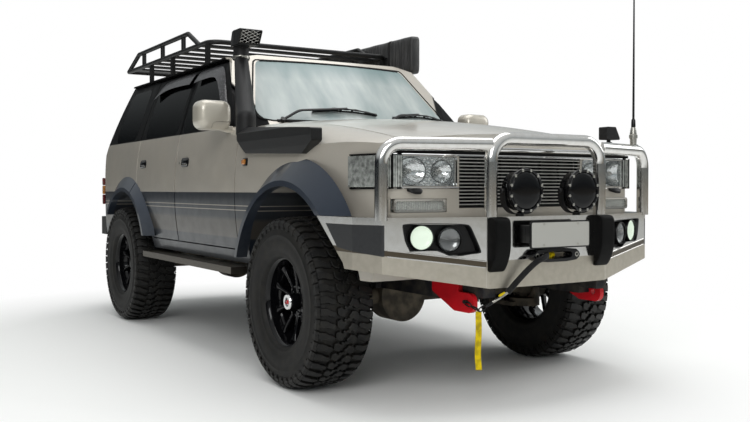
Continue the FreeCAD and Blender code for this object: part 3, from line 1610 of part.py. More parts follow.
def nose_lamps(form, shell):
    """Head, corner, park and rear lamps cut from the outer form of the body."""
    regions = []
    front = block(ahead(nose_ahead - lamp_depth), ahead(nose_ahead + overrun), -lamp_inner,
                  -lamp_outer + nose_gap, lamp_base_z, lamp_top_z)
    regions.append(front)
    wrap = block(ahead(corner_lamp_back_ahead), ahead(nose_ahead + overrun), -lamp_outer - nose_gap,
                 -mirror_reach, corner_lamp_base_z, corner_lamp_top_z)
    regions.append(wrap.cut(nose_plan(corner_lamp_skin)))
    regions.append(block(ahead(nose_ahead - lamp_depth / 2), ahead(nose_ahead + overrun),
                         -park_lamp_inner, -park_lamp_outer, park_lamp_base_z, park_lamp_top_z))
    regions.append(block(behind(rear_face_back + overrun), behind(rear_face_back - 3 * rear_lamp_skin),
                         -rear_lamp_inner, -mirror_reach, rear_lamp_base_z, rear_lamp_top_z
                         ).cut(cab_plan(rear_lamp_skin)))
    lamps = []
    for region in regions:
        lamp = shell.common(region)
        lamps += [lamp, mirrored(lamp)]
    return lamps


def grille(shell):
    """Grille: a frame with upright-sided opening and level fins across it."""
    back = ahead(nose_ahead - grille_depth)
    region = block(back, ahead(nose_ahead + overrun), -grille_half, grille_half, grille_base_z,
                   grille_top_z)
    solid = shell.common(region)
    window = block(back + grille_frame / 2, ahead(nose_ahead + overrun), -grille_half + grille_frame,
                   grille_half - grille_frame, grille_base_z + grille_frame,
                   grille_top_z - grille_frame)
    frame = solid.cut(window)
    height = grille_top_z - grille_base_z - 2 * grille_frame
    pitch = height / (fin_count + 1)
    fins = []
    for i in range(fin_count):
        z = grille_base_z + grille_frame + pitch * (i + 1)
        fins.append(block(back, ahead(nose_ahead + overrun), -grille_half, grille_half,
                          z - fin_thickness / 2, z + fin_thickness / 2).common(solid))
    return fused([frame] + fins), solid


def snorkel():
    """Raised air intake: body along the wing, tapered riser, neck and hooded mouth."""
    low = Vec(behind(snorkel_low_back), -snorkel_low_half, snorkel_low_z)
    high = Vec(behind(snorkel_high_back), -snorkel_high_half, snorkel_high_z)
    root = Vec(low.x, low.y, snorkel_body_top_z - snorkel_foot_radius / 2)
    climb = high - low
    riser = [rod(root, low, snorkel_foot_radius), Part.makeSphere(snorkel_foot_radius, low),
             Part.makeCone(snorkel_foot_radius, snorkel_top_radius, climb.Length, low, climb)]
    collar = Vec(0, 0, snorkel_collar_height / 2)
    riser.append(rod(high - collar, high + collar, snorkel_collar_radius))
    riser.append(rod(high, Vec(high.x, high.y, snorkel_mouth_base_z + snorkel_neck_radius),
                     snorkel_neck_radius))
    return fused(riser + [snorkel_body(), snorkel_head(high)])


def snorkel_body():
    """Creased box along the wing, chamfered at both lower corners."""
    sections = [
        (-snorkel_body_inner, snorkel_body_base_z - snorkel_body_bevel),
        (-snorkel_body_outer + snorkel_body_bevel, snorkel_body_base_z - snorkel_body_bevel),
        (-snorkel_body_outer + snorkel_body_bevel / 3, snorkel_body_bevel_z),
        (-snorkel_body_outer, snorkel_body_crease_z),
        (-snorkel_body_outer, snorkel_body_top_z - snorkel_body_shoulder),
        (-snorkel_body_outer + snorkel_body_shoulder, snorkel_body_top_z),
        (-snorkel_body_inner, snorkel_body_top_z + snorkel_body_bevel),
    ]
    across = front_prism(sections, 0, behind(snorkel_body_rear_back), ahead(snorkel_body_front_ahead))
    outline = [
        (behind(snorkel_body_rear_back), snorkel_body_heel_z),
        (behind(snorkel_keel_rear_back), snorkel_body_base_z + snorkel_keel_rise),
        (ahead(snorkel_keel_front_ahead), snorkel_body_base_z),
        (ahead(snorkel_body_front_ahead), snorkel_nose_z),
        (ahead(snorkel_body_front_ahead), snorkel_body_top_z - snorkel_body_fall),
        (behind(snorkel_low_back - snorkel_foot_radius), snorkel_body_top_z + snorkel_body_corner),
        (behind(snorkel_body_rear_back), snorkel_body_top_z + snorkel_body_corner),
    ]
    along = side_prism(outline, snorkel_body_corner, -snorkel_body_inner, -snorkel_body_outer - overrun)
    return across.common(along)


def snorkel_head(high):
    """Hood that widens forwards to a leaning mouth with a recess for its mesh."""
    back, mouth = high.x - snorkel_neck_radius, behind(snorkel_mouth_back)
    half, wall = snorkel_mouth_width / 2, snorkel_mouth_wall
    side_view = side_prism([
        (back, snorkel_mouth_base_z),
        (mouth - snorkel_mouth_lean, snorkel_mouth_base_z),
        (mouth, snorkel_mouth_top_z),
        (high.x, snorkel_mouth_top_z),
        (back, snorkel_mouth_top_z - snorkel_neck_radius),
    ], snorkel_mouth_corner, high.y - half, high.y + half)
    plan = plan_prism([
        (back, high.y - snorkel_neck_radius), (back, high.y + snorkel_neck_radius),
        (high.x + snorkel_neck_radius, high.y + half), (mouth, high.y + half),
        (mouth, high.y - half), (high.x + snorkel_neck_radius, high.y - half),
    ], 0, snorkel_mouth_base_z, snorkel_mouth_top_z)
    recess = side_prism([
        (mouth - snorkel_mouth_lean - snorkel_mouth_depth, snorkel_mouth_base_z + wall),
        (mouth + overrun, snorkel_mouth_base_z + wall),
        (mouth + overrun, snorkel_mouth_top_z - wall),
        (mouth - snorkel_mouth_depth, snorkel_mouth_top_z - wall),
    ], 0, high.y - half + wall, high.y + half - wall)
    return side_view.common(plan).cut(recess)


def roof_rack():
    """Tube rack with slats, a raised rail round its rear half and feet to the gutters."""
    x0, x1 = behind(rack_rear_back), behind(rack_front_back)
    corners = [Vec(x0, -rack_half, rack_z), Vec(x1, -rack_half, rack_z),
               Vec(x1, rack_half, rack_z), Vec(x0, rack_half, rack_z)]
    pieces = []
    radii = [0, rack_bend, rack_bend, 0]
    pieces.append(bent_tube(corners, radii, rack_tube_radius))
    pieces.append(rod(corners[0], corners[3], rack_tube_radius))
    pitch = (x1 - x0) / (rack_slat_count + 1)
    for i in range(rack_slat_count):
        x = x0 + pitch * (i + 1)
        pieces.append(block(x - rack_slat_width / 2, x + rack_slat_width / 2, -rack_half, rack_half,
                            rack_z - rack_slat_height / 2, rack_z + rack_slat_height / 2))
    rail_z = rack_z + rack_rail_rise
    front_x = behind(rack_rail_front_back)
    for side in (-1, 1):
        y = side * rack_half
        rail = [Vec(x0, y, rack_z), Vec(x0 + rack_rail_rear_run, y, rail_z),
                Vec(front_x, y, rail_z), Vec(front_x + rack_rail_front_run, y, rack_z)]
        pieces.append(bent_tube(rail, [0, rack_rail_bend / 2, rack_rail_bend / 2, 0],
                                rack_tube_radius))
        for i in range(rack_post_count):
            first, last = x0 + rack_post_start, front_x - rack_post_end
            x = first + (last - first) * i / (rack_post_count - 1)
            pieces.append(rod(Vec(x, y, rack_z), Vec(x, y, rail_z), rack_tube_radius))
        for share in rack_foot_shares:
            x = behind(wheelbase * share)
            pieces.append(block(x - rack_foot_width / 2, x + rack_foot_width / 2,
                                side * (rack_foot_half - rack_foot_thickness / 2),
                                side * (rack_foot_half + rack_foot_thickness / 2),
                                gutter_z + gutter_rise + seat_gap, rack_z))
            if side > 0:
                pieces.append(block(x - rack_foot_width / 2, x + rack_foot_width / 2, rack_half,
                                    awning_inner - seat_gap, rack_z - awning_bracket_thickness / 2,
                                    rack_z + awning_bracket_thickness / 2))
    return fused(pieces)


def awning_bag():
    """Soft awning bag along the left side of the rack."""
    points = [(awning_inner, awning_base_z), (awning_outer, awning_base_z),
              (awning_outer, awning_top_z), (awning_inner, awning_top_z)]
    return front_prism(points, awning_corner, behind(awning_rear_back), behind(awning_front_back))


def side_steps():
    """Two running boards on brackets from the rails."""
    pieces = []
    top = step_z + step_height / 2
    board = block(behind(step_rear_back), behind(step_front_back), -step_inner, -step_outer,
                  step_z - step_height / 2, top)
    for share in step_bracket_shares:
        x = behind(step_front_back + (step_rear_back - step_front_back) * share)
        board = board.fuse(block(x - step_bracket_width / 2, x + step_bracket_width / 2,
                                 -rail_outer, -step_inner - step_bracket_width,
                                 step_z - step_height / 2, step_z))
    pieces.append(board.removeSplitter())
    return both_sides(pieces[0])


def mudflaps():
    """Four rubber flaps behind the wheels."""
    outer = sill_half
    shapes = []
    for back, base_z in ((front_flap_back, front_flap_base_z), (rear_flap_back, rear_flap_base_z)):
        shapes.append(block(behind(back + flap_thickness), behind(back), -outer + flap_width, -outer,
                            base_z, sill_z))
    return Part.makeCompound(shapes + [mirrored(shape) for shape in shapes])


def rear_bumper():
    """Folded rear bumper on the end of the body."""
    rear_x = rear_end_x
    front_x = behind(rear_face_back)
    ring = rounded_path([Vec(front_x, -bumper_half, bumper_base_z), Vec(rear_x, -bumper_half, bumper_base_z),
                         Vec(rear_x, bumper_half, bumper_base_z), Vec(front_x, bumper_half, bumper_base_z)],
                        [0, bumper_corner, bumper_corner, 0], True)
    shell = face_prism(ring, Vec(0, 0, bumper_top_z - bumper_base_z))
    hollow = block(front_x + bumper_wall, rear_x + bumper_corner, -bumper_half + bumper_corner,
                   bumper_half - bumper_corner, bumper_base_z - overrun, bumper_top_z - bumper_wall)
    return shell.cut(hollow)


def seats():
    """Two front seats and a rear bench, each a cushion, a back and headrests on a base."""
    shapes = []
    floor = sill_z + floor_wall
    places = [(seat_front_back, seat_half, seat_width), (seat_front_back, -seat_half, seat_width),
              (bench_front_back, 0, 2 * bench_half)]
    for back, y, width in places:
        front_x = behind(back)
        rear_x = front_x - seat_length
        cushion = block(rear_x, front_x, y - width / 2, y + width / 2, seat_base_z,
                        seat_base_z + seat_cushion_height)
        riser = block(rear_x + seat_riser_inset, front_x - seat_riser_inset,
                      y - width / 2 + seat_riser_inset, y + width / 2 - seat_riser_inset,
                      floor + seat_gap, seat_base_z)
        rest = block(rear_x - seat_back_thickness, rear_x, y - width / 2, y + width / 2, seat_base_z,
                     seat_base_z + seat_back_height)
        pieces = [cushion, riser, rest]
        heads = [y] if y else [-width / 4, width / 4]
        for head_y in heads:
            top = seat_base_z + seat_back_height
            middle_x = rear_x - seat_back_thickness / 2
            pieces.append(block(middle_x - headrest_gap, middle_x + headrest_gap,
                                head_y - headrest_width / 2, head_y + headrest_width / 2,
                                top + headrest_gap / 2, top + headrest_height))
            pieces.append(block(middle_x - headrest_gap / 2, middle_x + headrest_gap / 2,
                                head_y - headrest_width / 4, head_y + headrest_width / 4,
                                top, top + headrest_gap))
        shapes.append(fused(pieces))
    return Part.makeCompound(shapes)


def dashboard():
    """Dashboard across the cabin with the steering wheel on its raked column."""
    points = [(behind(dash_front_back + dash_depth), dash_base_z), (behind(dash_front_back), dash_base_z),
              (behind(dash_front_back), dash_top_z), (behind(dash_front_back + dash_depth), dash_top_z)]
    top = side_prism(points, dash_corner, -dash_half, dash_half)
    centre = Vec(behind(wheel_hand_back), -wheel_hand_half, wheel_hand_z)
    rake = math.radians(wheel_hand_rake)
    axis = Vec(math.cos(rake), 0, -math.sin(rake))
    ring = Part.makeTorus(wheel_hand_radius, wheel_hand_tube, centre, axis)
    column = rod(centre, centre + axis * dash_depth, wheel_hand_tube * 2)
    spokes = [rod(centre - Vec(0, wheel_hand_radius, 0), centre + Vec(0, wheel_hand_radius, 0),
                  wheel_hand_tube)]
    return fused([top, column, ring] + spokes)


def door_mirror():
    """Right-hand door mirror: a head on a foot at the front corner of the window."""
    points = [(-mirror_inner, mirror_base_z), (-mirror_reach, mirror_base_z),
              (-mirror_reach, mirror_top_z), (-mirror_inner, mirror_top_z)]
    head = front_prism(points, mirror_corner, behind(mirror_back), behind(mirror_front))
    foot_x = behind((mirror_back + mirror_front) / 2)
    foot = block(foot_x - mirror_foot_length / 2, foot_x + mirror_foot_length / 2,
                 -belt_half + door_wall / 2, -mirror_inner - mirror_corner,
                 belt_z - mirror_foot_height, belt_z)
    return fused([head, foot])


def flare(seat, lip, arch, nose_z, foot_z, axle_x):
    """Right-hand flare: a cone from the body out to the lip, open at the arch."""
    seat_centre, seat_radius = seat
    lip_centre, lip_radius = lip
    rings = []
    for centre, radius, half in ((seat_centre, seat_radius, flare_seat_half),
                                 (lip_centre, lip_radius, flare_reach)):
        x, z = centre
        circle = Part.Circle(Vec(x, -half, z), Vec(0, 1, 0), radius)
        rings.append(Part.Wire([circle.toShape()]))
    cone = Part.makeLoft(rings, True, True)
    arch_centre, arch_radius = arch
    hole = cross_rod(arch_centre[0], arch_centre[1], -flare_seat_half + overrun,
                     -flare_reach - overrun, arch_radius)
    front_cut = block(axle_x, axle_x + wheelbase / 2, -flare_seat_half + overrun,
                      -flare_reach - overrun, -tyre_radius, nose_z)
    rear_cut = block(axle_x, axle_x - wheelbase / 2, -flare_seat_half + overrun,
                     -flare_reach - overrun, -tyre_radius, foot_z)
    return cone.cut([hole, front_cut, rear_cut])


def flares(form):
    """Front flare, rear flare on the body and the part of it that rides on the rear door."""
    front_arch = (behind(front_arch_back), front_arch_z)
    front = flare(((ahead(front_flare_ahead), front_flare_z), front_flare_radius),
                  (front_arch, front_arch_radius + flare_lip), (front_arch, front_arch_radius),
                  front_flare_nose_z, front_flare_foot_z, front_axle_x)
    rear_arch = (rear_axle_x + rear_arch_ahead, rear_arch_z)
    rear = flare(((rear_axle_x + rear_flare_ahead, rear_flare_z), rear_flare_radius),
                 (rear_arch, rear_arch_radius + flare_lip), (rear_arch, rear_arch_radius),
                 rear_flare_front_z, rear_flare_rear_z, rear_axle_x)
    split_x = behind(rear_door_rear)
    door_side = block(split_x, split_x + wheelbase / 2, -bulge_half + door_wall, -mirror_reach, 0,
                      roof_crown_z)
    body_side = block(split_x - panel_gap, split_x - wheelbase / 2, -bulge_half + door_wall,
                      -mirror_reach, 0, roof_crown_z)
    front, rear = front.cut(form), rear.cut(form)
    return front, rear.common(body_side), rear.common(door_side)


def winch_line():
    """Winch line from the fairlead to the hook on the right-hand recovery point."""
    points = line_points
    path = rounded_path(points, line_radii, False)
    circle = Part.Circle(points[0], points[1] - points[0], line_radius).toShape()
    return path.makePipeShell([Part.Wire([circle])], True, False)


def winch_hook():
    """Hook on the line's end, the chain to its pin, and the flat pull strap."""
    shank = rod(line_points[-1], hook_end, hook_radius)
    chain = bent_tube([hook_end, hook_low, hook_tip], [0, hook_chain_bend, 0], hook_chain_radius)
    pin = rod(hook_tip, Vec(hook_tip.x, -rail_outer - seat_gap, hook_tip.z), hook_pin_radius)
    knot = Part.makeSphere(hook_pin_radius, hook_tip)
    strap_y = hook_low.y - strap_shift
    strap = block(hook_low.x - strap_thickness / 2, hook_low.x + strap_thickness / 2,
                  strap_y - strap_width / 2, strap_y + strap_width / 2,
                  hook_low.z - strap_length, hook_low.z)
    return fused([shank, chain, pin, knot, strap])


def engine():
    """Engine as one plain block on the front cross member."""
    return block(behind(engine_rear_back), ahead(engine_front_ahead), -engine_half, engine_half,
                 rail_base_z + rail_height, engine_top_z)


def main():
    """Build and write every sub-part."""
    os.makedirs("parts", exist_ok=True)
    pieces, form = body_parts()
    shell = pieces["body_shell"]
    lamps = nose_lamps(form, shell)
    grille_piece, grille_room = grille(shell)
    shell = shell.cut(lamps + [grille_room])
    pieces["body_shell"] = shell
    pieces["lamps"] = Part.makeCompound(lamps)
    pieces["grille"] = grille_piece
    front_flare, rear_flare, door_flare = flares(form)
    pieces["flares"] = Part.makeCompound([front_flare, mirrored(front_flare), rear_flare,
                                          mirrored(rear_flare)])
    pieces["door_rear_right"] = fused([pieces["door_rear_right"], door_flare])
    for name in ("door_front", "door_rear", "door_glass_front", "door_glass_rear"):
        pieces[name + "_left"] = mirrored(pieces[name + "_right"])
    mirror = door_mirror().cut(form)
    pieces["mirror_right"] = mirror
    pieces["mirror_left"] = mirrored(mirror)
    pieces["wing_mirror"] = wing_mirror(form)
    for end, axle_x, half_track, lock in (("front", front_axle_x, front_half_track, lock_radius),
                                          ("rear", rear_axle_x, rear_half_track, spindle_radius * 2)):
        for name, side in (("right", -1), ("left", 1)):
            centre = Vec(axle_x, side * half_track, axle_z)
            pieces["rim_" + end + "_" + name] = rim(centre, side, lock)
            pieces["tyre_" + end + "_" + name] = tyre(centre, side)
    pieces["knuckle_right"] = knuckle(-1)
    pieces["knuckle_left"] = knuckle(1)
    pieces["front_axle"] = front_axle()
    pieces["rear_axle"] = rear_axle()
    pieces["chassis_frame"] = chassis()
    pieces["driveline"] = driveline()
    pieces["engine_block"] = engine()
    bar, fog_lamps = bull_bar()
    pieces["bull_bar"] = bar
    pieces["chassis_frame"] = pieces["chassis_frame"].cut(bar)
    pieces["bar_buffers"] = both_sides(buffers())
    pieces["driving_lamps"] = driving_lamps(fog_lamps)
    pieces["fairlead"] = fairlead()
    pieces["recovery_points"] = both_sides(recovery_points())
    pieces["snorkel"] = snorkel().cut(form)
    pieces["roof_rack"] = roof_rack()
    pieces["awning_bag"] = awning_bag()
    pieces["side_steps"] = side_steps()
    pieces["mudflaps"] = mudflaps()
    pieces["rear_bumper"] = rear_bumper()
    pieces["seats"] = seats()
    pieces["dashboard"] = dashboard()
    pieces["antenna"] = antenna()
    pieces["winch_hook"] = winch_hook()
    pieces["winch_line"] = winch_line().cut(pieces["winch_hook"])
    for name, shape in pieces.items():
        print(name, len(shape.Solids), round(shape.Volume), shape.isValid())
        save(name, shape)


main()
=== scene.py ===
# %% [markdown]
# # A lifted off-road 4x4
#
# The CAD model gives every size. This script dresses it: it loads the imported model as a
# fixed frame, gives each CAD node its finish, and adds the pieces that are too fine or too
# soft for CAD. All lengths are metres: +X is forward, +Y is the vehicle's left, +Z is up.

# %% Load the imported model
import math
from functools import partial

import bmesh
import bpy
import numpy as np
from mathutils import Matrix, Vector


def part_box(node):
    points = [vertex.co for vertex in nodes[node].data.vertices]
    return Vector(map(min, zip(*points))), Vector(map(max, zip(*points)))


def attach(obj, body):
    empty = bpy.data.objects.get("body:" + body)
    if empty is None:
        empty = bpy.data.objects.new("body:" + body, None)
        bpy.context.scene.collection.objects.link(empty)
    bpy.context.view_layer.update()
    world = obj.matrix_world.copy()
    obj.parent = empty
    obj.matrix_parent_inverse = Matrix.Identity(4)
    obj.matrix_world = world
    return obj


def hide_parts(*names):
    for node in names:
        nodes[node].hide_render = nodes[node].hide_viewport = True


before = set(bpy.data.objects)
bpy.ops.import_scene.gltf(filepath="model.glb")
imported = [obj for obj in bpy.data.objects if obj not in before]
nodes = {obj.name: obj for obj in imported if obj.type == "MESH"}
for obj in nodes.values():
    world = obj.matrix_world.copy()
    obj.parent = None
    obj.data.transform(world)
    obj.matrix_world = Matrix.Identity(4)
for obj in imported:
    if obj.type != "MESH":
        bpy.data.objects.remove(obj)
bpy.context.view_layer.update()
FRONT_X, REAR_X, AXLE_Z = 1.390, -1.460, 0.4445

# %% [markdown]
# ## The camera
#
# The picture was taken from ahead of the right front corner, at about the height of the
# bonnet's lip. The focal length and the place come from matching known points, such as
# the wheel centres and the bull bar, to a pinhole camera.

# %% Camera
CAMERA_PLACE = np.array([FRONT_X + 4.0683, -2.9787, 1.0326])
CAMERA_YAW, CAMERA_PITCH, CAMERA_ROLL = 31.569, 1.266, -0.06
LENS_MM, SHIFT_X, SHIFT_Y = 42.107, 0.0184, -0.0039


def new_object(name, data):
    """Object of that name and data, linked to the scene."""
    obj = bpy.data.objects.new(name, data)
    bpy.context.scene.collection.objects.link(obj)
    return obj


def camera_axes(yaw, pitch, roll):
    """Right, up and backward unit vectors of a camera that looks towards -X turned by yaw."""
    cy, sy = math.cos(yaw), math.sin(yaw)
    cp, sp = math.cos(pitch), math.sin(pitch)
    forward = np.array([-cy * cp, sy * cp, -sp])
    right = np.cross(forward, [0.0, 0.0, 1.0])
    right /= np.linalg.norm(right)
    up = np.cross(right, forward)
    cr, sr = math.cos(roll), math.sin(roll)
    return cr * right + sr * up, cr * up - sr * right, -forward


def add_camera():
    """Camera whose matrix columns are its right, up and backward axes and its place."""
    data = bpy.data.cameras.new("camera")
    data.lens, data.sensor_width = LENS_MM, 36.0
    data.shift_x, data.shift_y = SHIFT_X, SHIFT_Y
    obj = new_object("camera", data)
    axes = camera_axes(*np.radians([CAMERA_YAW, CAMERA_PITCH, CAMERA_ROLL]))
    matrix = np.eye(4)
    matrix[:3, :3] = np.array(axes).T
    matrix[:3, 3] = CAMERA_PLACE
    obj.matrix_world = Matrix(matrix.tolist())
    bpy.context.scene.camera = obj


add_camera()
print("camera at", CAMERA_PLACE)

# %% [markdown]
# ## Helpers for materials
#
# A colour is written as the hex value that the eye sees on a screen, and one function
# turns it to the linear values that Blender mixes with. One function adds every shader
# node with its settings and links, so a material reads as a recipe.

# %% Colour and node helpers
MM = 0.001
RGBA = {"out": 2, "data_type": "RGBA"}


def colour(hex_code):
    """Linear RGBA of an sRGB hex code: c/12.92 below 0.04045, else ((c+0.055)/1.055)^2.4."""
    srgb = np.array([int(hex_code[i:i + 2], 16) for i in (1, 3, 5)]) / 255.0
    linear = np.where(srgb <= 0.04045, srgb / 12.92, ((srgb + 0.055) / 1.055) ** 2.4)
    return (*linear.tolist(), 1.0)


def add_node(tree, kind, *inputs, out=0, stops=(), **settings):
    """Adds one node and gives its output called or numbered out.

    Inputs fill the sockets in order, or a dict names them. A node's output is linked and a
    hex string becomes a colour. Stops are the (position, hex) pairs of a colour ramp.
    """
    new = tree.nodes.new("ShaderNode" + kind)
    for key, value in settings.items():
        setattr(new, key, value)
    by_name = inputs and isinstance(inputs[0], dict)
    for socket, value in inputs[0].items() if by_name else enumerate(inputs):
        if isinstance(value, bpy.types.NodeSocket):
            tree.links.new(value, new.inputs[socket])
        else:
            new.inputs[socket].default_value = colour(value) if isinstance(value, str) else value
    for place, (position, hex_code) in enumerate(stops):
        elements = new.color_ramp.elements
        element = elements[place] if place < len(elements) else elements.new(position)
        element.position, element.color = position, colour(hex_code)
    return new.outputs[out] if new.outputs else new


def start_material(name, hex_code, metallic=0.0, roughness=0.5, **sockets):
    """Material with one Principled shader, and the function that adds nodes to its tree."""
    material = bpy.data.materials.new(name)
    material.use_nodes = True
    tree = material.node_tree
    shader = tree.nodes["Principled BSDF"]
    values = {"Base Color": colour(hex_code), "Metallic": metallic, "Roughness": roughness}
    values.update({key.replace("_", " "): value for key, value in sockets.items()})
    for socket, value in values.items():
        shader.inputs[socket].default_value = value
    return material, partial(add_node, tree), shader


def connect(shader, **outputs):
    """Links outputs to the shader's sockets of those names."""
    for name, output in outputs.items():
        shader.id_data.links.new(output, shader.inputs[name.replace("_", " ")])


def product(add, *values):
    """Values multiplied together."""
    result = values[0]
    for value in values[1:]:
        result = add("Math", result, value, operation="MULTIPLY")
    return result


def band(add, value, low, high, edge=0.002):
    """1 between low and high, 0 outside, with a soft edge."""
    return product(add, add("MapRange", value, low - edge, low),
                   add("MapRange", value, high, high + edge, 1.0, 0.0))


# %% [markdown]
# ## Painted steel
#
# The body is clear-coated metallic paint: a beige-grey base with fine flakes, darker
# and bluer below the waist stripe. Metal flakes are far below a pixel here, so they show
# as a soft metallic sheen and a slight mottle. The lower doors lean inwards and carry a
# film of pale dust, which lightens them between the moulding and the sill. The window
# frames and pillars between the belt and the gutter are sprayed black. Each zone is a band
# of one coordinate, and a band is the product of two steps. Object coordinates are metres
# in the row frame, so a pattern's scale is one over its size in metres.

# %% Paint finishes
STRIPE_TOP, MOULDING_TOP, MOULDING_LOW, DUST_TOP, DUST_LOW = 1.012, 0.934, 0.908, 0.862, 0.742
BELT_TOP, GUTTER_TOP = 1.404, 1.890


def body_paint(name, upper_hex, lower=True):
    """Two-tone metallic paint: the tone is picked by height above the floor."""
    material, add, shader = start_material(name, upper_hex, 0.35, 0.34, Coat_Weight=0.9,
                                           Coat_Roughness=0.12)
    where = add("TexCoord", out="Object")
    flakes, drift, grime = (add("TexNoise", {"Vector": where, "Scale": 1 / size, "Detail": detail})
                            for size, detail in ((0.006, 2.0), (0.420, 2.0), (0.090, 5.0)))
    slow, spots = add("MapRange", drift, 0.3, 0.7), add("MapRange", flakes, 0.35, 0.65, 0.0, 0.12)
    tone = add("Mix", {0: slow, 6: upper_hex, 7: "#bab3a7"}, **RGBA)
    tone = add("Mix", {0: spots, 6: tone, 7: "#c9c3b6"}, **RGBA)
    rough = add("MapRange", grime, 0.3, 0.75, 0.28, 0.42)
    if lower:
        length, side, height = (add("SeparateXYZ", where, out=axis) for axis in "XYZ")
        line = add("Math", height, (MOULDING_TOP + MOULDING_LOW) / 2, operation="SUBTRACT")
        half = (MOULDING_TOP - MOULDING_LOW) / 2
        on_line = band(add, add("Math", line, operation="ABSOLUTE"), half - 0.002, half + 0.002,
                       0.001)
        dust = product(add, add("MapRange", height, DUST_LOW - 0.004, DUST_LOW + 0.006),
                       add("MapRange", height, DUST_TOP - 0.02, DUST_TOP + 0.004, 1.0, 0.0))
        low_tone = add("Mix", {0: slow, 6: "#20262f", 7: "#181d25"}, **RGBA)
        low_tone = add("Mix", {0: dust, 6: low_tone, 7: "#45413c"}, **RGBA)
        low_tone = add("Mix", {0: on_line, 6: low_tone, 7: "#9c958a"}, **RGBA)
        low_zone = product(
            add, add("MapRange", height, STRIPE_TOP - 0.001, STRIPE_TOP + 0.001, 1.0, 0.0),
            add("MapRange", length, FRONT_X, FRONT_X + 0.01, 1.0, 0.0))
        tone = add("Mix", {0: low_zone, 6: tone, 7: low_tone}, **RGBA)
        pillar = add("Math", height, 1.124, length, operation="MULTIPLY_ADD")
        frames = product(add, band(add, height, BELT_TOP, GUTTER_TOP),
                         add("MapRange", add("Math", side, operation="ABSOLUTE"), 0.655, 0.660),
                         add("MapRange", pillar, 2.231, 2.235, 1.0, 0.0))
        tone = add("Mix", {0: frames, 6: tone, 7: "#040405"}, **RGBA)
        rough = add("Math", frames, 0.2, rough, operation="MULTIPLY_ADD")
        clear = add("MapRange", frames, 0.0, 1.0, 0.9, 0.0)
        connect(shader, Metallic=add("MapRange", frames, 0.0, 1.0, 0.35, 1.0),
                Coat_Weight=add("Math", low_zone, -0.45, clear, operation="MULTIPLY_ADD"))
    connect(shader, Base_Color=tone, Roughness=rough)
    return material


def flare_paint():
    """Blue-grey metallic paint of the wheel-arch flares, with a dusty lower edge."""
    material, add, shader = start_material("flare metallic paint", "#27303e", 0.5, 0.33,
                                           Coat_Weight=0.6, Coat_Roughness=0.06)
    where = add("TexCoord", out="Object")
    high = add("MapRange", add("SeparateXYZ", where, out="Z"), 0.68, 0.92)
    spots = add("TexNoise", {"Vector": where, "Scale": 1 / 0.060, "Detail": 4.0})
    spots = add("MapRange", spots, 0.45, 0.7, 0.0, 0.35)
    tone = add("Mix", {0: high, 6: "#3a3e45", 7: "#27303e"}, **RGBA)
    connect(shader, Base_Color=add("Mix", {0: spots, 6: tone, 7: "#1f2734"}, **RGBA))
    return material


def dusty(name, hex_code, dust_hex, roughness, grain_mm, depth_mm, dust=0.4, shine=0.3,
          patch=(0.045, 5.0, 0.4, 0.7), detail=2.0):
    """Dull paint or polymer: a fine pebble, and dust that gathers in patches."""
    material, add, shader = start_material(name, hex_code, roughness=roughness,
                                           Specular_IOR_Level=shine)
    where = add("TexCoord", out="Object")
    size, patch_detail, low, high = patch
    grain = add("TexNoise", {"Vector": where, "Scale": 1 / (grain_mm * MM), "Detail": detail})
    patches = add("TexNoise", {"Vector": where, "Scale": 1 / size, "Detail": patch_detail})
    patches = add("MapRange", patches, low, high, 0.0, dust)
    connect(shader, Base_Color=add("Mix", {0: patches, 6: hex_code, 7: dust_hex}, **RGBA),
            Normal=add("Bump", {"Height": grain, "Distance": depth_mm * MM, "Strength": 1.0}))
    return material


PAINT = body_paint("beige metallic two-tone paint", "#b3ada3")
# The bonnet faces the sky, so the body's beige is painted lighter on it: a painted highlight.
TOP_LIT_PAINT = body_paint("beige metallic paint lightened on top", "#d0cbc2", lower=False)
FLARE_PAINT = flare_paint()
MIRROR_PAINT = body_paint("pale mirror paint", "#b9b4a6", lower=False)
BLACK_PAINT, AXLE_PAINT, FRAME_PAINT, RED_PAINT = (
    dusty(name, paint, dirt, rough, 2.0, 0.25, dust, patch=(0.070, 6.0, 0.42, 0.68), detail=3.0)
    for name, paint, dirt, rough, dust in (
        ("black powder coat", "#0a0a0b", "#24221f", 0.45, 0.25),
        ("dusty axle paint", "#3c372f", "#6a6153", 0.75, 0.8),
        ("dusty frame paint", "#16161a", "#4c463c", 0.7, 0.6),
        ("red powder coat", "#c0141f", "#8d1119", 0.35, 0.3)))
print("paints", PAINT.name, FLARE_PAINT.name)

# %% [markdown]
# ## Metals, rubber, plastic and glass
#
# Polished aluminium is a bare metal whose roughness rises where it was brushed. Rubber
# and textured plastic are near-black and matt: what makes them read is a fine bump and
# a trace of dust, not their colour. Chrome keeps almost no roughness at all.

# %% Metals
def bare_metal(name, hex_code, roughness, streak_mm, spread=0.12):
    """Metal whose polish marks run along X: noise squeezed across the marks."""
    material, add, shader = start_material(name, hex_code, 1.0, roughness)
    marks = add("Mapping", {"Vector": add("TexCoord", out="Object"), "Scale": (1, 14, 14)})
    marks = add("TexNoise", {"Vector": marks, "Scale": 1 / (streak_mm * MM), "Detail": 4.0})
    connect(shader, Normal=add("Bump", {"Height": marks, "Distance": 0.03 * MM, "Strength": 1.0}),
            Roughness=add("MapRange", marks, 0.3, 0.7, roughness - spread / 2,
                          roughness + spread))
    return material


POLISHED = bare_metal("polished aluminium", "#cfcdca", 0.13, 60.0)
CHROME = bare_metal("chrome plate", "#dcdcdc", 0.05, 80.0, 0.04)
STEEL = bare_metal("zinc-plated steel", "#a7a59e", 0.32, 12.0)
CHROME_DUSTY = bare_metal("dusty chrome grille", "#a3a09a", 0.2, 25.0)
STEP_METAL = bare_metal("dusty step metal", "#67625a", 0.38, 25.0)
MESH_WIRE = bare_metal("galvanised wire", "#e4e2de", 0.3, 8.0)

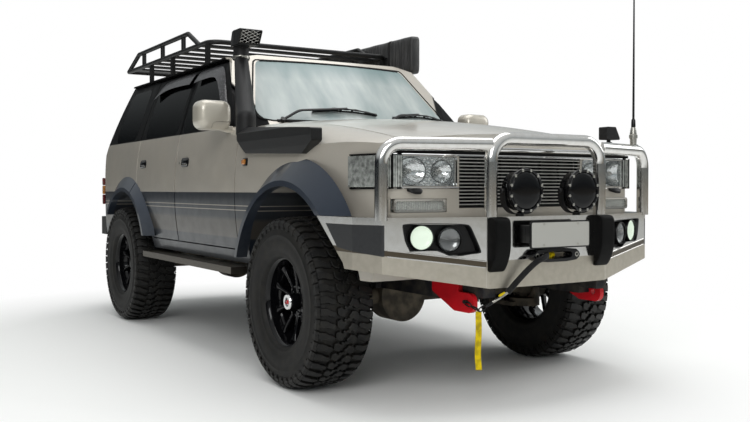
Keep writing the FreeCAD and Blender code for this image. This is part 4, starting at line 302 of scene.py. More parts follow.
# %% Rubber and plastics
TYRE_TREAD = dusty("tyre tread rubber", "#090909", "#1d1b17", 0.46, 3.0, 0.4, 0.7)
TYRE_WALL = dusty("tyre sidewall rubber", "#0d0c0b", "#1c1a16", 0.6, 2.0, 0.2, 0.9)
RUBBER = dusty("black moulded rubber", "#060606", "#121110", 0.55, 2.0, 0.2, shine=0.1)
# The pebble of the snorkel's plastic is about 1.2 mm; it is drawn at 4 mm to show.
TEXTURED = dusty("pebbled black plastic", "#131314", "#1c1c1c", 0.48, 4.0, 0.9, 0.2)
SMOOTH_BLACK = dusty("satin black plastic", "#080809", "#141414", 0.3, 1.5, 0.05, 0.2)
GLOSS_BLACK = dusty("gloss black enamel", "#08080a", "#101012", 0.09, 8.0, 0.0, 0.1)
CABIN_TRIM = dusty("cabin plastic", "#2c2b29", "#3a3835", 0.6, 2.0, 0.2)
YELLOW_DYE = dusty("yellow latch plastic", "#e0c400", "#8f7d10", 0.45, 2.0, 0.1, 0.3)


# %% Glass
def glass(name, hex_code, strength, roughness=0.02, coat=1.0, ior=1.5):
    """Thin tinted pane: part of the light goes straight through, the rest is mirrored."""
    material, add, shader = start_material(
        name, hex_code, roughness=roughness, Alpha=strength, Coat_Weight=coat,
        Coat_Roughness=0.01, IOR=ior)
    material.surface_render_method = "BLENDED"
    smudge = add("TexNoise", {"Vector": add("TexCoord", out="Object"), "Scale": 1 / 0.160,
                              "Detail": 3.0})
    connect(shader, Roughness=add("MapRange", smudge, 0.3, 0.7, roughness, roughness + 0.05))
    return material


def screen_with_painted_reflection(name):
    """Laminated screen: its pale streaks are a painted sky reflection; greener tinted top band."""
    material, add, shader = start_material(name, "#a9b3b1", roughness=0.22, Alpha=0.80)
    material.surface_render_method = "BLENDED"
    where = add("TexCoord", out="Object")
    slanted = add("Mapping", {"Vector": where, "Rotation": (0.6, 0.0, 0.0),
                              "Scale": (1, 3.2, 0.8)})
    # The pale base and the slanted streaks (film) are a painted reflection of a cloudy sky; the
    # dew is a bump.
    film = add("TexNoise", {"Vector": slanted, "Scale": 1 / 0.420, "Detail": 3.0})
    tone = add("Mix", {0: add("MapRange", film, 0.3, 0.72), 6: "#96a4a3", 7: "#c4cac8"}, **RGBA)
    tint = add("MapRange", add("SeparateXYZ", where, out="Z"), 1.74, 1.86)
    dew = add("TexVoronoi", {"Vector": where, "Scale": 1 / 0.009}, out="Distance")
    connect(shader, Normal=add("Bump", {"Height": dew, "Distance": 0.25 * MM, "Strength": 1.0}),
            Base_Color=add("Mix", {0: product(add, tint, 0.75), 6: tone, 7: "#6f8a8b"}, **RGBA))
    return material


SIDE_GLASS = glass("dark tinted glass", "#030404", 0.97, 0.05, coat=0.0, ior=1.15)
SCREEN_GLASS = screen_with_painted_reflection("laminated windscreen")
LENS = glass("clear polycarbonate lens", "#dfe6e6", 0.07)
SMOKED_LENS = glass("smoked polycarbonate lens", "#1a1a1c", 0.5)


# %% Webbing and single tones
def woven(name, hex_code, dark_hex, thread_mm, roughness=0.75):
    """Woven webbing or sleeve: two crossed waves a thread apart make the ribs."""
    material, add, shader = start_material(name, hex_code, roughness=roughness, Sheen_Weight=0.06,
                                           Sheen_Roughness=0.5, Specular_IOR_Level=0.2)
    where = add("TexCoord", out="Object")
    dirt = add("TexNoise", {"Vector": where, "Scale": 1 / 0.030, "Detail": 4.0})
    wave, cross = (add("TexWave", {"Vector": where, "Scale": 0.32 / (thread_mm * MM),
                                   "Distortion": 0.3, "Detail": 1.0}, out="Fac",
                       bands_direction=way) for way in ("Z", "DIAGONAL"))
    ribs = product(add, wave, cross)
    connect(shader, Normal=add("Bump", {"Height": ribs, "Distance": 0.5 * MM, "Strength": 1.0}),
            Base_Color=add("ValToRGB", dirt, stops=((0.35, dark_hex), (0.6, hex_code))))
    return material


SLEEVE = woven("black woven sleeve", "#0c0c0e", "#1c1b1a", 3.0)
WEBBING = woven("yellow webbing", "#d8bd08", "#a18c0e", 3.0)
BLANK_PLATE = start_material("blank grey plate", "#a6a59f", roughness=0.45)[0]
HUB_RED = start_material("red enamel", "#b5141c", roughness=0.3)[0]
FOG_GLOW = start_material("lit fog lamp", "#ccd6c8", roughness=0.2,
                          Emission_Color=colour("#dff0da"), Emission_Strength=0.4)[0]
FIN_METAL = start_material("bright anodised fins", "#cfcdc8", 0.5, 0.28)[0]
print("materials", len(bpy.data.materials))

# %% [markdown]
# ## Helpers for shapes
#
# A surface is a grid of points worked out at once with numpy and joined by quads. Two
# kinds cover most pieces: a profile turned about an axis, and a section carried along a
# path. A piece is a list of such surfaces put into one mesh.

# %% Mesh helpers
def grid(points, wrap_rows=False, wrap_columns=False):
    """Quads over a rows x columns x 3 array; wrapping joins its last line to its first."""
    rows, columns = points.shape[:2]
    r = np.arange(rows if wrap_rows else rows - 1)[:, None]
    c = np.arange(columns if wrap_columns else columns - 1)[None, :]
    r2, c2 = (r + 1) % rows, (c + 1) % columns
    quads = np.stack([r * columns + c, r * columns + c2, r2 * columns + c2, r2 * columns + c], -1)
    return points.reshape(-1, 3), quads.reshape(-1, 4)


def capped(rings, start=True):
    """Closed rings joined by quads, with a cap on the last and, unless told, on the first."""
    rings = np.array(rings)
    verts, quads = grid(rings, wrap_columns=True)
    count, last = rings.shape[1], (len(rings) - 1) * rings.shape[1]
    caps = [list(range(count))[::-1]] * start + [list(range(last, last + count))]
    return verts, quads.tolist() + caps


def turned(profile, centre, axis="Y", steps=96, flip=1.0):
    """Profile of (along, radius) pairs turned about an axis: (r cos a, along, r sin a)."""
    along, radius = np.array(profile, float).T
    angle = np.linspace(0, 2 * np.pi, steps, endpoint=False)
    x = radius[:, None] * np.cos(angle)
    z = radius[:, None] * np.sin(angle)
    y = np.repeat(along[:, None] * flip, steps, axis=1)
    order = {"Y": (x, y, z), "X": (y, x, z), "Z": (x, z, y)}[axis]
    return grid(np.stack(order, -1) + np.array(centre, float), wrap_columns=True)


def unit(vectors):
    """Vectors scaled to length one along their last axis."""
    return vectors / np.linalg.norm(vectors, axis=-1, keepdims=True)


def squared(wave, power):
    """Cosine or sine raised to 2/power with its sign kept, which squares an ellipse."""
    return np.sign(wave) * np.abs(wave) ** (2 / power)


def section_along(path, across, up, wide, high, steps=12, power=2.0, closed=False):
    """Rounded section carried along a path: place + wide/2 c across + high/2 s up.

    The section's corners grow squarer with the power. Widths and heights may change along
    the path, and a closed path has no end caps.
    """
    path = np.array(path, float)
    count = len(path)
    angle = np.linspace(0, 2 * np.pi, steps, endpoint=False) + np.pi / steps
    c, s = squared(np.cos(angle), power), squared(np.sin(angle), power)
    across = np.broadcast_to(np.array(across, float), (count, 3))
    up = np.broadcast_to(np.array(up, float), (count, 3))
    wide = np.broadcast_to(np.array(wide, float) / 2, (count,))[:, None, None]
    high = np.broadcast_to(np.array(high, float) / 2, (count,))[:, None, None]
    points = (path[:, None] + wide * c[None, :, None] * across[:, None]
              + high * s[None, :, None] * up[:, None])
    return grid(points, wrap_rows=True, wrap_columns=True) if closed else capped(points)


def corner_arc(before, corner, after, radius, steps):
    """Quadratic arc round a corner: (1-t)^2 a + 2t(1-t) corner + t^2 b."""
    t = np.linspace(0, 1, steps)[:, None]
    a = corner + unit(before - corner) * radius
    b = corner + unit(after - corner) * radius
    return (1 - t) ** 2 * a + 2 * t * (1 - t) * corner + t ** 2 * b


def rounded_run(points, radii, steps=8):
    """Open path whose inner corners are rounded, each by its own radius."""
    points = np.array(points, float)
    corners = zip(points, points[1:], points[2:], radii)
    return np.concatenate([points[:1], *(corner_arc(*corner, steps) for corner in corners),
                           points[-1:]])


def in_plane(rings, plane):
    """Points of (outline, height) rings: the outline lies in the plane, the height across it."""
    order = {"XZ": (0, 2, 1), "XY": (0, 1, 2), "YZ": (1, 2, 0)}[plane]
    layers = np.zeros((len(rings), len(rings[0][0]), 3))
    for layer, (ring, height) in zip(layers, rings):
        layer[:, order] = np.column_stack([ring, np.full(len(ring), height)])
    return layers


def slab(outline, low, high, plane="XZ", inset=0.0):
    """Flat plate: an outline in one plane, raised from low to high, its edge chamfered."""
    outline = np.array(outline, float)
    middle = outline.mean(0)
    shrink = 1 - inset / np.maximum(np.linalg.norm(outline - middle, axis=1, keepdims=True), 1e-6)
    small = middle + (outline - middle) * shrink
    step = np.sign(high - low) * inset
    rings = [(small, low), (outline, low + step), (outline, high - step), (small, high)]
    if not inset:
        rings = [(outline, low), (outline, high)]
    return capped(in_plane(rings, plane))


def box_part(low, high, chamfer=0.002):
    """Box between two corners as a chamfered slab raised along Z."""
    (x0, y0, z0), (x1, y1, z1) = low, high
    return slab([(x0, y0), (x1, y0), (x1, y1), (x0, y1)], z0, z1, "XY", chamfer)


def rounded_outline(width, height, radius, centre=(0, 0), steps=6):
    """Rectangle with corner arcs: corner centre + radius (cos a, sin a), a quarter turn each."""
    quarter = np.linspace(0, np.pi / 2, steps)
    ring = []
    for turn, (sx, sy) in enumerate(((1, 1), (-1, 1), (-1, -1), (1, -1))):
        angle = quarter + turn * np.pi / 2
        middle = np.array([sx * (width / 2 - radius), sy * (height / 2 - radius)])
        ring.append(middle + radius * np.stack([np.cos(angle), np.sin(angle)], -1))
    return np.concatenate(ring) + np.array(centre)


def mirrored(part):
    """The same surface on the other side of the XZ plane, with its faces turned round."""
    verts, faces = part
    return np.array(verts) * [1, -1, 1], [list(face)[::-1] for face in faces]


def both_sides(*parts):
    """Surfaces of the left side, each followed by its mirror image."""
    return [image for part in parts for image in (part, mirrored(part))]


def piece(name, parts, material, body="vehicle", smooth=35.0):
    """One object from several surfaces, with outward normals and seams merged."""
    offsets = np.cumsum([0] + [len(verts) for verts, _ in parts[:-1]])
    verts = np.concatenate([np.asarray(part[0], float) for part in parts])
    faces = [[int(i) + int(shift) for i in face]
             for (_, part_faces), shift in zip(parts, offsets) for face in part_faces]
    mesh = bpy.data.meshes.new(name)
    mesh.from_pydata(verts.tolist(), [], faces)
    form = bmesh.new()
    form.from_mesh(mesh)
    bmesh.ops.remove_doubles(form, verts=form.verts, dist=2e-6)
    bmesh.ops.recalc_face_normals(form, faces=form.faces)
    form.to_mesh(mesh)
    form.free()
    mesh.materials.append(material)
    mesh.shade_smooth()
    mesh.set_sharp_from_angle(angle=math.radians(smooth))
    obj = new_object(name, mesh)
    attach(obj, body)
    return obj


# %% [markdown]
# ## Mud tyres
#
# The tread is the loudest shape on this vehicle. It repeats 46 times round the tyre: a
# kinked shoulder lug with a small biter on its outer end, a centre block with a hooked
# edge, and the same again on the other half, turned end for end and half a pitch on.
# Every block is one outline in (distance round, distance across), copied to all pitches
# as one array and then rolled onto the crown. A plainer way, a bump map, would leave the
# tyre's outline round, and here the lugs make the outline.

# %% Tread blocks rolled onto the crown
TYRE_RADIUS, TYRE_HALF, PITCHES = 0.4445, 0.159, 46
PITCH = 2 * np.pi / PITCHES


def crown(y):
    """Radius of the tread's top at a distance y across: flat crown, then a rolled shoulder."""
    y = np.abs(y) / TYRE_HALF
    return (TYRE_RADIUS - 0.0028 * (y / 0.7) ** 2
            - 0.030 * np.clip((y - 0.80) / 0.20, 0, 1) ** 1.8)


def tread_blocks(outline, depth, turn, chamfer=0.0022):
    """Blocks of one outline at every pitch: (s, y) goes to angle s/R and radius crown(y)."""
    middle = outline.mean(0)
    reach = np.linalg.norm(outline - middle, axis=1, keepdims=True)
    top = middle + (outline - middle) * (1 - chamfer / reach)
    foot = middle + (outline - middle) * (1 + 0.0012 / reach)
    rings = [(foot, -depth), (outline, -chamfer), (top, 0.0)]
    starts = (np.arange(PITCHES) + turn) * PITCH
    layers = []
    for ring, drop in rings:
        angle = starts[:, None] + ring[None, :, 0] / TYRE_RADIUS
        radius = crown(ring[:, 1])[None, :] + drop
        y = np.broadcast_to(ring[None, :, 1], angle.shape)
        layers.append(np.stack([radius * np.sin(angle), y, radius * np.cos(angle)], -1))
    points = np.stack(layers, 1)
    verts, one = capped(points[0], start=False)
    faces = [[i + len(verts) * k for i in face] for k in range(PITCHES) for face in one]
    return points.reshape(-1, 3), faces


def tread():
    """All blocks of one tyre, centred on the origin; outlines and depths are in mm."""
    shoulder = [(-19, -146), (-19, -118), (-8, -96), (2, -70), (12, -64), (26, -70), (24, -92),
                (17, -112), (17, -146)]
    biter = [(-17, -158.5), (-18, -149), (16, -149), (15, -158.5)]
    hook = [(-14, -60), (-22, -40), (-10, -26), (-14, -10), (4, -4), (14, -16), (30, -22),
            (26, -44), (14, -58)]
    small = [(-24, -17), (-20, -3), (-13, 3), (-6, -2), (-10, -18), (-17, -22)]
    blocks = ((shoulder, 14.5), (biter, 12.0), (hook, 13.0), (small, 11.0))
    return [tread_blocks(np.array(outline) * MM * swap, depth * MM, turn)
            for swap, turn in ((1.0, 0.0), (-1.0, 0.5)) for outline, depth in blocks]


# %% Carcass, sidewall biters and the whole tyre
def carcass_profile():
    """Section from bead to bead: flat tread base, rolled shoulder, bulged wall with rings."""
    wall = [(0.120, 0.2225), (0.128, 0.231), (0.140, 0.236), (0.146, 0.246), (0.1475, 0.252),
            (0.1470, 0.256), (0.1535, 0.275), (0.1572, 0.300), (0.1582, 0.325), (0.1578, 0.345),
            (0.1590, 0.348), (0.1590, 0.352), (0.1565, 0.356), (0.1545, 0.372), (0.1520, 0.388),
            (0.1480, 0.402), (0.1400, 0.4145), (0.128, 0.4225), (0.110, 0.4265), (0.060, 0.4290)]
    far = [(-y, r) for y, r in wall[::-1]]
    return wall + [(0.0, 0.4298)] + far + [(-0.112, 0.219), (0.112, 0.219), (0.120, 0.2225)]


def side_biters():
    """Blocks that run down the shoulder: alternate long and short, each a box on the wall."""
    parts = []
    for side in (-1, 1):
        for turn, low, half in ((0.0, 0.378, 0.0165), (0.5, 0.396, 0.0065)):
            shift = turn + (0.25 if side > 0 else 0.0)
            angle = ((np.arange(PITCHES) + shift) * PITCH)[:, None, None]
            reach = np.array([-1, -0.9, 0.9, 1])[None, None, :] * half / TYRE_RADIUS
            radius = np.array([low, low + 0.006, 0.412, 0.4250])[None, :, None]
            rise = np.array([0.1515, 0.1585, 0.1585, 0.1475])[None, :, None]
            edge = np.array([0.006, 0.0, 0.0, 0.006])[None, None, :]
            a = angle + reach * np.ones_like(radius)
            y = side * np.minimum((rise - edge) * np.ones_like(a), TYRE_HALF)
            r = radius * np.ones_like(a)
            points = np.stack([r * np.sin(a), y, r * np.cos(a)], -1)
            one = grid(points[0])[1]
            faces = [[int(i) + 16 * k for i in quad] for k in range(PITCHES) for quad in one]
            parts.append((points.reshape(-1, 3), faces))
    return parts


TREAD = tread()
BITERS = side_biters()


def add_tyre(name, side, centre):
    """Carcass and tread of one wheel; the left wheels are turned, as fitted tyres are."""
    flip, body = np.array([side, side, 1.0]), f"wheel_{name}"
    placed = [(np.array(verts) * flip + centre, faces) for verts, faces in TREAD]
    piece(f"tread_{name}", placed, TYRE_TREAD, body, 25.0)
    shell = [turned(carcass_profile(), centre, steps=144)]
    shell += [(np.array(verts) * flip + centre, faces) for verts, faces in BITERS]
    wall = piece(f"carcass_{name}", shell, TYRE_WALL, body, 40.0)
    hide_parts(f"tyre_{name}")


# %% [markdown]
# ## Ten-spoke wheels
#
# The wheel is cast aluminium in gloss black. Its barrel is one turned profile. A spoke is
# narrow in the middle and flares into the hub and into the rim, so its width is a curve
# along its length, and it falls back from the rim to the hub by 20 mm.

# %% Rims
BARREL = [(-0.122, 0.226), (-0.120, 0.229), (-0.112, 0.224), (-0.095, 0.219), (-0.05, 0.205),
          (0.03, 0.205), (0.075, 0.2175), (0.110, 0.222), (0.118, 0.2335), (0.123, 0.2345),
          (0.126, 0.231), (0.124, 0.2255), (0.112, 0.2135), (0.100, 0.2105), (0.062, 0.2085),
          (0.050, 0.2030), (0.040, 0.1975), (-0.045, 0.1965), (-0.09, 0.209), (-0.113, 0.216),
          (-0.122, 0.226)]


def rim_spokes(centre, flip, count=10):
    """Spokes: width w0 + w1 |2t-1|^3 along t, face height from hub to rim, squared section."""
    t = np.linspace(0, 1, 15)
    radius = 0.052 + t * 0.150
    wide = 0.019 + 0.028 * np.abs(2 * t - 1) ** 3.0
    deep = 0.030 + 0.012 * (1 - t)
    y = 0.034 + 0.030 * t ** 1.6
    parts = []
    for i in range(count):
        angle = 2 * np.pi * (i + 0.5) / count
        out = np.array([np.cos(angle), 0.0, np.sin(angle)])
        across = np.array([-np.sin(angle), 0.0, np.cos(angle)])
        path = radius[:, None] * out + (y * flip)[:, None] * np.array([0, 1.0, 0]) + centre
        parts.append(section_along(path, across, (0, flip, 0), wide, deep, 12, 3.5))
    return parts


def rim_hub(centre, flip):
    """Hub disc with a turned step and six wheel nuts."""
    face = [(-0.012, 0.0), (-0.012, 0.085), (0.046, 0.088), (0.052, 0.082), (0.053, 0.062),
            (0.046, 0.058), (0.046, 0.0)]
    parts = [turned(face, centre, flip=flip, steps=64)]
    for k in range(6):
        angle = 2 * np.pi * k / 6
        middle = centre + np.array([0.070 * np.cos(angle), 0.0, 0.070 * np.sin(angle)])
        nut = [(0.040, 0.0), (0.040, 0.0118), (0.060, 0.0112), (0.0645, 0.008), (0.066, 0.0)]
        parts.append(turned(nut, middle, flip=flip, steps=6))
    return parts


def locking_hub(name, centre, flip, body):
    """Free-wheeling hub: black fluted body, bright dial ring and a small red centre."""
    barrel = [(0.046, 0.044), (0.095, 0.043), (0.100, 0.040), (0.100, 0.0), (0.046, 0.0)]
    piece(f"hub_body_{name}", [turned(barrel, centre, flip=flip, steps=48)], GLOSS_BLACK,
          body)
    ring = [(0.098, 0.041), (0.106, 0.0415), (0.111, 0.038), (0.111, 0.024), (0.105, 0.0225),
            (0.098, 0.0225)]
    bars = []
    for k in range(3):
        angle = np.pi * k / 3
        along = np.array([np.cos(angle), 0, np.sin(angle)])
        path = np.stack([centre - 0.026 * along, centre + 0.026 * along]) + [0, flip * 0.103, 0]
        bars.append(section_along(path, np.cross(along, [0, 1, 0]), (0, 1, 0), 0.006, 0.006, 8))
    piece(f"hub_dial_{name}", [turned(ring + ring[:1], centre, flip=flip, steps=48)] + bars,
          CHROME, body)
    cap = [(0.100, 0.0), (0.100, 0.012), (0.108, 0.011), (0.110, 0.008), (0.111, 0.0)]
    piece(f"hub_centre_{name}", [turned(cap, centre, flip=flip, steps=24)], HUB_RED,
          body)


def add_wheel(end, side, x, half_track):
    """Tyre, rim and hub of one corner."""
    name = f"{end}_{'left' if side > 0 else 'right'}"
    body = f"wheel_{name}"
    centre = np.array([x, side * half_track, AXLE_Z])
    add_tyre(name, side, centre)
    parts = [turned(BARREL, centre, flip=side)] + rim_spokes(centre, side) + rim_hub(centre, side)
    rim = piece(f"wheel_{name}", parts, GLOSS_BLACK, body, 40.0)
    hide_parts(f"rim_{name}")
    if end == "front":
        locking_hub(name, centre, side, body)
    else:
        cap = [(0.046, 0.0), (0.046, 0.047), (0.070, 0.044), (0.076, 0.036), (0.078, 0.0)]
        piece(f"hub_cap_{name}", [turned(cap, centre, flip=side, steps=48)], SMOOTH_BLACK,
              body)


for end, x, half_track in (("front", FRONT_X, 0.8215), ("rear", REAR_X, 0.815)):
    for side in (-1, 1):
        add_wheel(end, side, x, half_track)
print("tread blocks in a tyre", PITCHES * len(TREAD))

# %% [markdown]
# ## Finishes for the CAD nodes
#
# Where a CAD node already has the right shape, only its material is set here. The bar's
# sheet is cut into zones by its height, its distance from the middle and two slanted lines.

# %% Aluminium of the bull bar
def bar_alloy():
    """Polished sheet: brushed lower band, painted shadow of a groove above it, dark side films."""
    material, add, shader = start_material("polished aluminium sheet", "#cfcdca", 1.0, 0.13)
    where = add("TexCoord", out="Object")
    length, side, height = (add("SeparateXYZ", where, out=axis) for axis in "XYZ")
    out = add("Math", side, operation="ABSOLUTE")
    line = add("Math", out, -0.13, height, operation="MULTIPLY_ADD")
    wings = product(add, add("MapRange", out, 0.384, 0.388),
                    add("MapRange", height, 0.90, 0.905, 1.0, 0.0))
    lower = product(add, wings, add("MapRange", line, 0.620, 0.622, 1.0, 0.0))
    centre = product(add, add("MapRange", out, 0.384, 0.388, 1.0, 0.0),
                     add("MapRange", height, 0.698, 0.702, 1.0, 0.0))
    brushed = add("Math", lower, centre, operation="MAXIMUM")
    # This band is the groove's painted shadow, 23 mm high along z - 0.13 |y| under the fog panels.
    groove = product(add, wings, band(add, line, 0.622, 0.645))
    front_edge = add("Math", length, 0.111, height, operation="MULTIPLY_ADD")
    rear_edge = add("Math", height, 0.917, length, operation="MULTIPLY_ADD")
    film = product(add, add("MapRange", out, 0.845, 0.848),
                   add("MapRange", height, 0.868, 0.870, 1.0, 0.0),
                   add("MapRange", front_edge, 0.970, 0.972),
                   add("MapRange", rear_edge, 2.597, 2.600))
    marks, grit = (add("TexNoise", {"Vector": where, "Scale": 1 / size, "Detail": detail})
                   for size, detail in ((0.030, 5.0), (0.014, 4.0)))
    stain = add("MapRange", marks, 0.35, 0.7, 0.0, 0.3)
    tone = add("Mix", {0: stain, 6: "#dad9d7", 7: "#b9b4aa"}, **RGBA)
    dull = add("Mix", {0: marks, 6: "#aaa396", 7: "#c4beb2"}, **RGBA)
    dark = add("Mix", {0: grit, 6: "#1b1c1e", 7: "#2d2e30"}, **RGBA)
    # The groove's dark #5b5348 is painted shade; the brushed and film tones are the sheet's own.
    for zone, zone_tone in ((brushed, dull), (groove, "#5b5348"), (film, dark)):
        tone = add("Mix", {0: zone, 6: tone, 7: zone_tone}, **RGBA)
    rough = add("Math", add("MapRange", brushed, 0.0, 1.0, 0.11, 0.45),
                add("MapRange", film, 0.0, 1.0, 0.0, 0.4), operation="MAXIMUM")
    connect(shader, Base_Color=tone, Roughness=rough,
            Metallic=add("MapRange", film, 0.0, 1.0, 1.0, 0.1),
            Normal=add("Bump", {"Height": marks, "Distance": 0.02 * MM, "Strength": 1.0}))
    return material


# %% CAD node finishes
NODE_FINISHES = {
    PAINT: "body_shell door_front_right door_front_left door_rear_right door_rear_left "
           "tailgate_lower tailgate_upper",
    TOP_LIT_PAINT: "bonnet",
    FLARE_PAINT: "flares",
    MIRROR_PAINT: "mirror_right mirror_left",
    SIDE_GLASS: "door_glass_front_right door_glass_front_left door_glass_rear_right "
                "door_glass_rear_left tailgate_glass",
    SCREEN_GLASS: "fixed_glass",
    LENS: "lamps",
    CHROME_DUSTY: "grille",
    bar_alloy(): "bull_bar",
    RUBBER: "bar_buffers mudflaps",
    TEXTURED: "snorkel wing_mirror",
    BLACK_PAINT: "roof_rack antenna rear_bumper",
    SMOOTH_BLACK: "driving_lamps fairlead awning_bag",
    AXLE_PAINT: "front_axle rear_axle knuckle_right knuckle_left driveline engine_block",
    FRAME_PAINT: "chassis_frame",
    RED_PAINT: "recovery_points",
    STEEL: "winch_hook winch_line",
    STEP_METAL: "side_steps",
    CABIN_TRIM: "seats dashboard",
}
for material, names in NODE_FINISHES.items():
    for name in names.split():
        nodes[name].data.materials.clear()
        nodes[name].data.materials.append(material)


def face_middles(name):
    """The x, y and z of the middles of a node's faces, as three arrays."""
    faces = nodes[name].data.polygons
    middles = np.zeros(len(faces) * 3)
    faces.foreach_get("center", middles)
    return middles.reshape(-1, 3).T


def second_finish(name, material, chosen):
    """Gives the chosen faces of a CAD node a second material."""
    mesh = nodes[name].data
    mesh.materials.append(material)
    index = np.where(chosen, len(mesh.materials) - 1, 0).astype(np.int32)
    mesh.polygons.foreach_set("material_index", index)
    print(name, "faces in", material.name, int(chosen.sum()))


x, y, z = face_middles("fixed_glass")
second_finish("fixed_glass", SIDE_GLASS, (np.abs(y) > 0.66) & (x < -1.2))
for side in ("right", "left"):
    x, y, z = face_middles(f"door_rear_{side}")
    door_skin = 0.9167 - 0.269 * (z - 1.005) ** 2
    second_finish(f"door_rear_{side}", FLARE_PAINT, (np.abs(y) > door_skin + 0.003) & (z < 1.404))

# %% [markdown]
# ## Lamps in the nose
#
# The nose is a shallow bow, so every lamp follows the line x = 2.161 - 0.033 |y|. A
# headlamp is three things: a bright faceted reflector sunk behind the face, a small
# shield over each bulb, and a clear cover. The reflector is a height field: its depth
# grows inside two ellipses as a paraboloid does. Corner and rear lamps are strips carried
# round the corners of the body's plan.

# %% The nose's plan and strips that follow a plan
NOSE_X, NOSE_SLOPE = 2.161, 0.0328
NOSE_CORNER = np.array([2.135, 0.792])


def on_nose(y, z, depth=0.0):
    """Point of the front face, x = 2.161 - 0.0328 |y|, sunk by a depth."""
    y, z, depth = np.broadcast_arrays(np.asarray(y, float), z, depth)
    return np.stack([NOSE_X - NOSE_SLOPE * np.abs(y) - depth, y, z], -1)


def corner_plan(before, corner, after, radius, steps=12):
    """Plan curve through one corner: straight, a circle's arc of the radius, straight."""
    before, corner, after = (np.array(p, float) for p in (before, corner, after))
    a, b = unit(before - corner), unit(after - corner)
    half = np.arccos(np.dot(a, b)) / 2
    middle = corner + unit(a + b) * radius / np.sin(half)
    start = corner + a * radius / np.tan(half) - middle
    finish = corner + b * radius / np.tan(half) - middle
    turn = np.linspace(0, 1, steps)[:, None] * (np.pi - 2 * half)
    side = (finish - start * np.cos(np.pi - 2 * half)) / np.sin(np.pi - 2 * half)
    arc = middle + start * np.cos(turn) + side * np.sin(turn)
    return np.concatenate([before[None], arc, after[None]])


def plan_strip(plan, low, high, out, thick, outward=1.0):
    """Upright strip along a plan curve; its outer face stands out by a distance."""
    plan = np.array(plan, float)
    tangent = unit(np.gradient(plan, axis=0))
    normal = outward * np.stack([tangent[:, 1], -tangent[:, 0], np.zeros(len(plan))], -1)
    path = np.column_stack([plan, np.full(len(plan), (low + high) / 2)])
    path += normal * (out - thick / 2)
    return section_along(path, normal, (0, 0, 1), thick, high - low, 12, 7.0)


def nose_strip(y, z, depth, deep, high, steps=10, power=3.0):
    """Level strip across the nose: its section is deep along X and high along Z."""
    return section_along(on_nose(y, z, depth), (1, 0, 0), (0, 0, 1), deep, high, steps, power)


# %% Finishes of the lamps
def reflector_metal(name, cell_mm, depth_mm):
    """Vacuum-plated reflector: bright, with small flat facets that each mirror their own spot."""
    material, add, shader = start_material(name, "#c9cccc", 1.0, 0.10)
    cells = add("TexVoronoi", {"Vector": add("TexCoord", out="Object"),
                               "Scale": 1 / (cell_mm * MM)}, out="Distance")
    connect(shader, Normal=add("Bump", {"Height": cells, "Distance": depth_mm * MM,
                                        "Strength": 1.0}))
    return material


def fluted_lens(name, hex_code, pitch_mm, alpha, axis="Y"):
    """Moulded lens with flutes on its back, sin(2 pi u / pitch), which break up what is behind."""
    material, add, shader = start_material(name, hex_code, roughness=0.12, Alpha=alpha,
                                           Coat_Weight=1.0, Coat_Roughness=0.03)
    material.surface_render_method = "BLENDED"
    along = add("SeparateXYZ", add("TexCoord", out="Object"), out=axis)
    wave = add("Math", product(add, along, 2 * math.pi / (pitch_mm * MM)), operation="SINE")
    connect(shader, Normal=add("Bump", {"Height": wave, "Distance": 0.6 * MM, "Strength": 1.0}))
    return material


def rib_glint_reflector():
    """Reflector behind upright ribs: painted shade and glint bars of u = x - |y|, broken by noise.
    """
    material, add, shader = start_material("reflector with painted rib glints", "#9a9d9a", 0.6, 0.22)
    where = add("TexCoord", out="Object")
    length, side = (add("SeparateXYZ", where, out=axis) for axis in "XY")
    along = add("Math", length, add("Math", side, operation="ABSOLUTE"), operation="SUBTRACT")
    wave = add("Math", product(add, along, 2 * math.pi / 0.010), operation="SINE")
    patches = add("TexNoise", {"Vector": where, "Scale": 1 / 0.022, "Detail": 3.0})
    # The dark and bright bars are painted shade and glints of the ribs, not the reflector's
    # colour.
    shade = add("MapRange", add("Math", patches, 3.2, wave, operation="MULTIPLY_ADD"), 0.9, 2.5)
    connect(shader, Base_Color=add("Mix", {0: shade, 6: "#3f423f", 7: "#dfe2dd"}, **RGBA))
    return material


REFLECTOR = reflector_metal("faceted reflector", 13.0, 0.9)
RIB_GLINTS = rib_glint_reflector()
FLUTED_CLEAR = fluted_lens("fluted clear lens", "#d9dcd6", 7.0, 0.28)
RED_LENS = fluted_lens("red rear lens", "#5f0a0c", 9.0, 0.95, "Z")
AMBER_LENS = fluted_lens("amber rear lens", "#b0702a", 9.0, 0.92, "Z")
print("lamp finishes", REFLECTOR.name, RIB_GLINTS.name)

# %% Headlamps
LAMP_Y, LAMP_Z = (0.4135, 0.7605), (1.0455, 1.1805)
BOWLS = ((0.660, 1.113, 0.080, 0.064), (0.490, 1.112, 0.059, 0.053))


def headlamp_reflector():
    """Depth 14 mm, and 17 mm + 40 mm (1 - rho^2) inside each bowl, over a rectangle."""
    y = np.linspace(*LAMP_Y, 96)[None, :]
    z = np.linspace(*LAMP_Z, 44)[:, None]
    depth = np.full((44, 96), 0.014)
    for cy, cz, ry, rz in BOWLS:
        rho = ((y - cy) / ry) ** 2 + ((z - cz) / rz) ** 2
        depth = np.maximum(depth, np.where(rho < 1, 0.017 + 0.040 * (1 - rho), 0))
    y, z = np.broadcast_arrays(y, z)
    front = on_nose(y, z, depth)
    back = on_nose(y, z, 0.059)
    return grid(np.concatenate([back[:1], front, back[-1:]]))


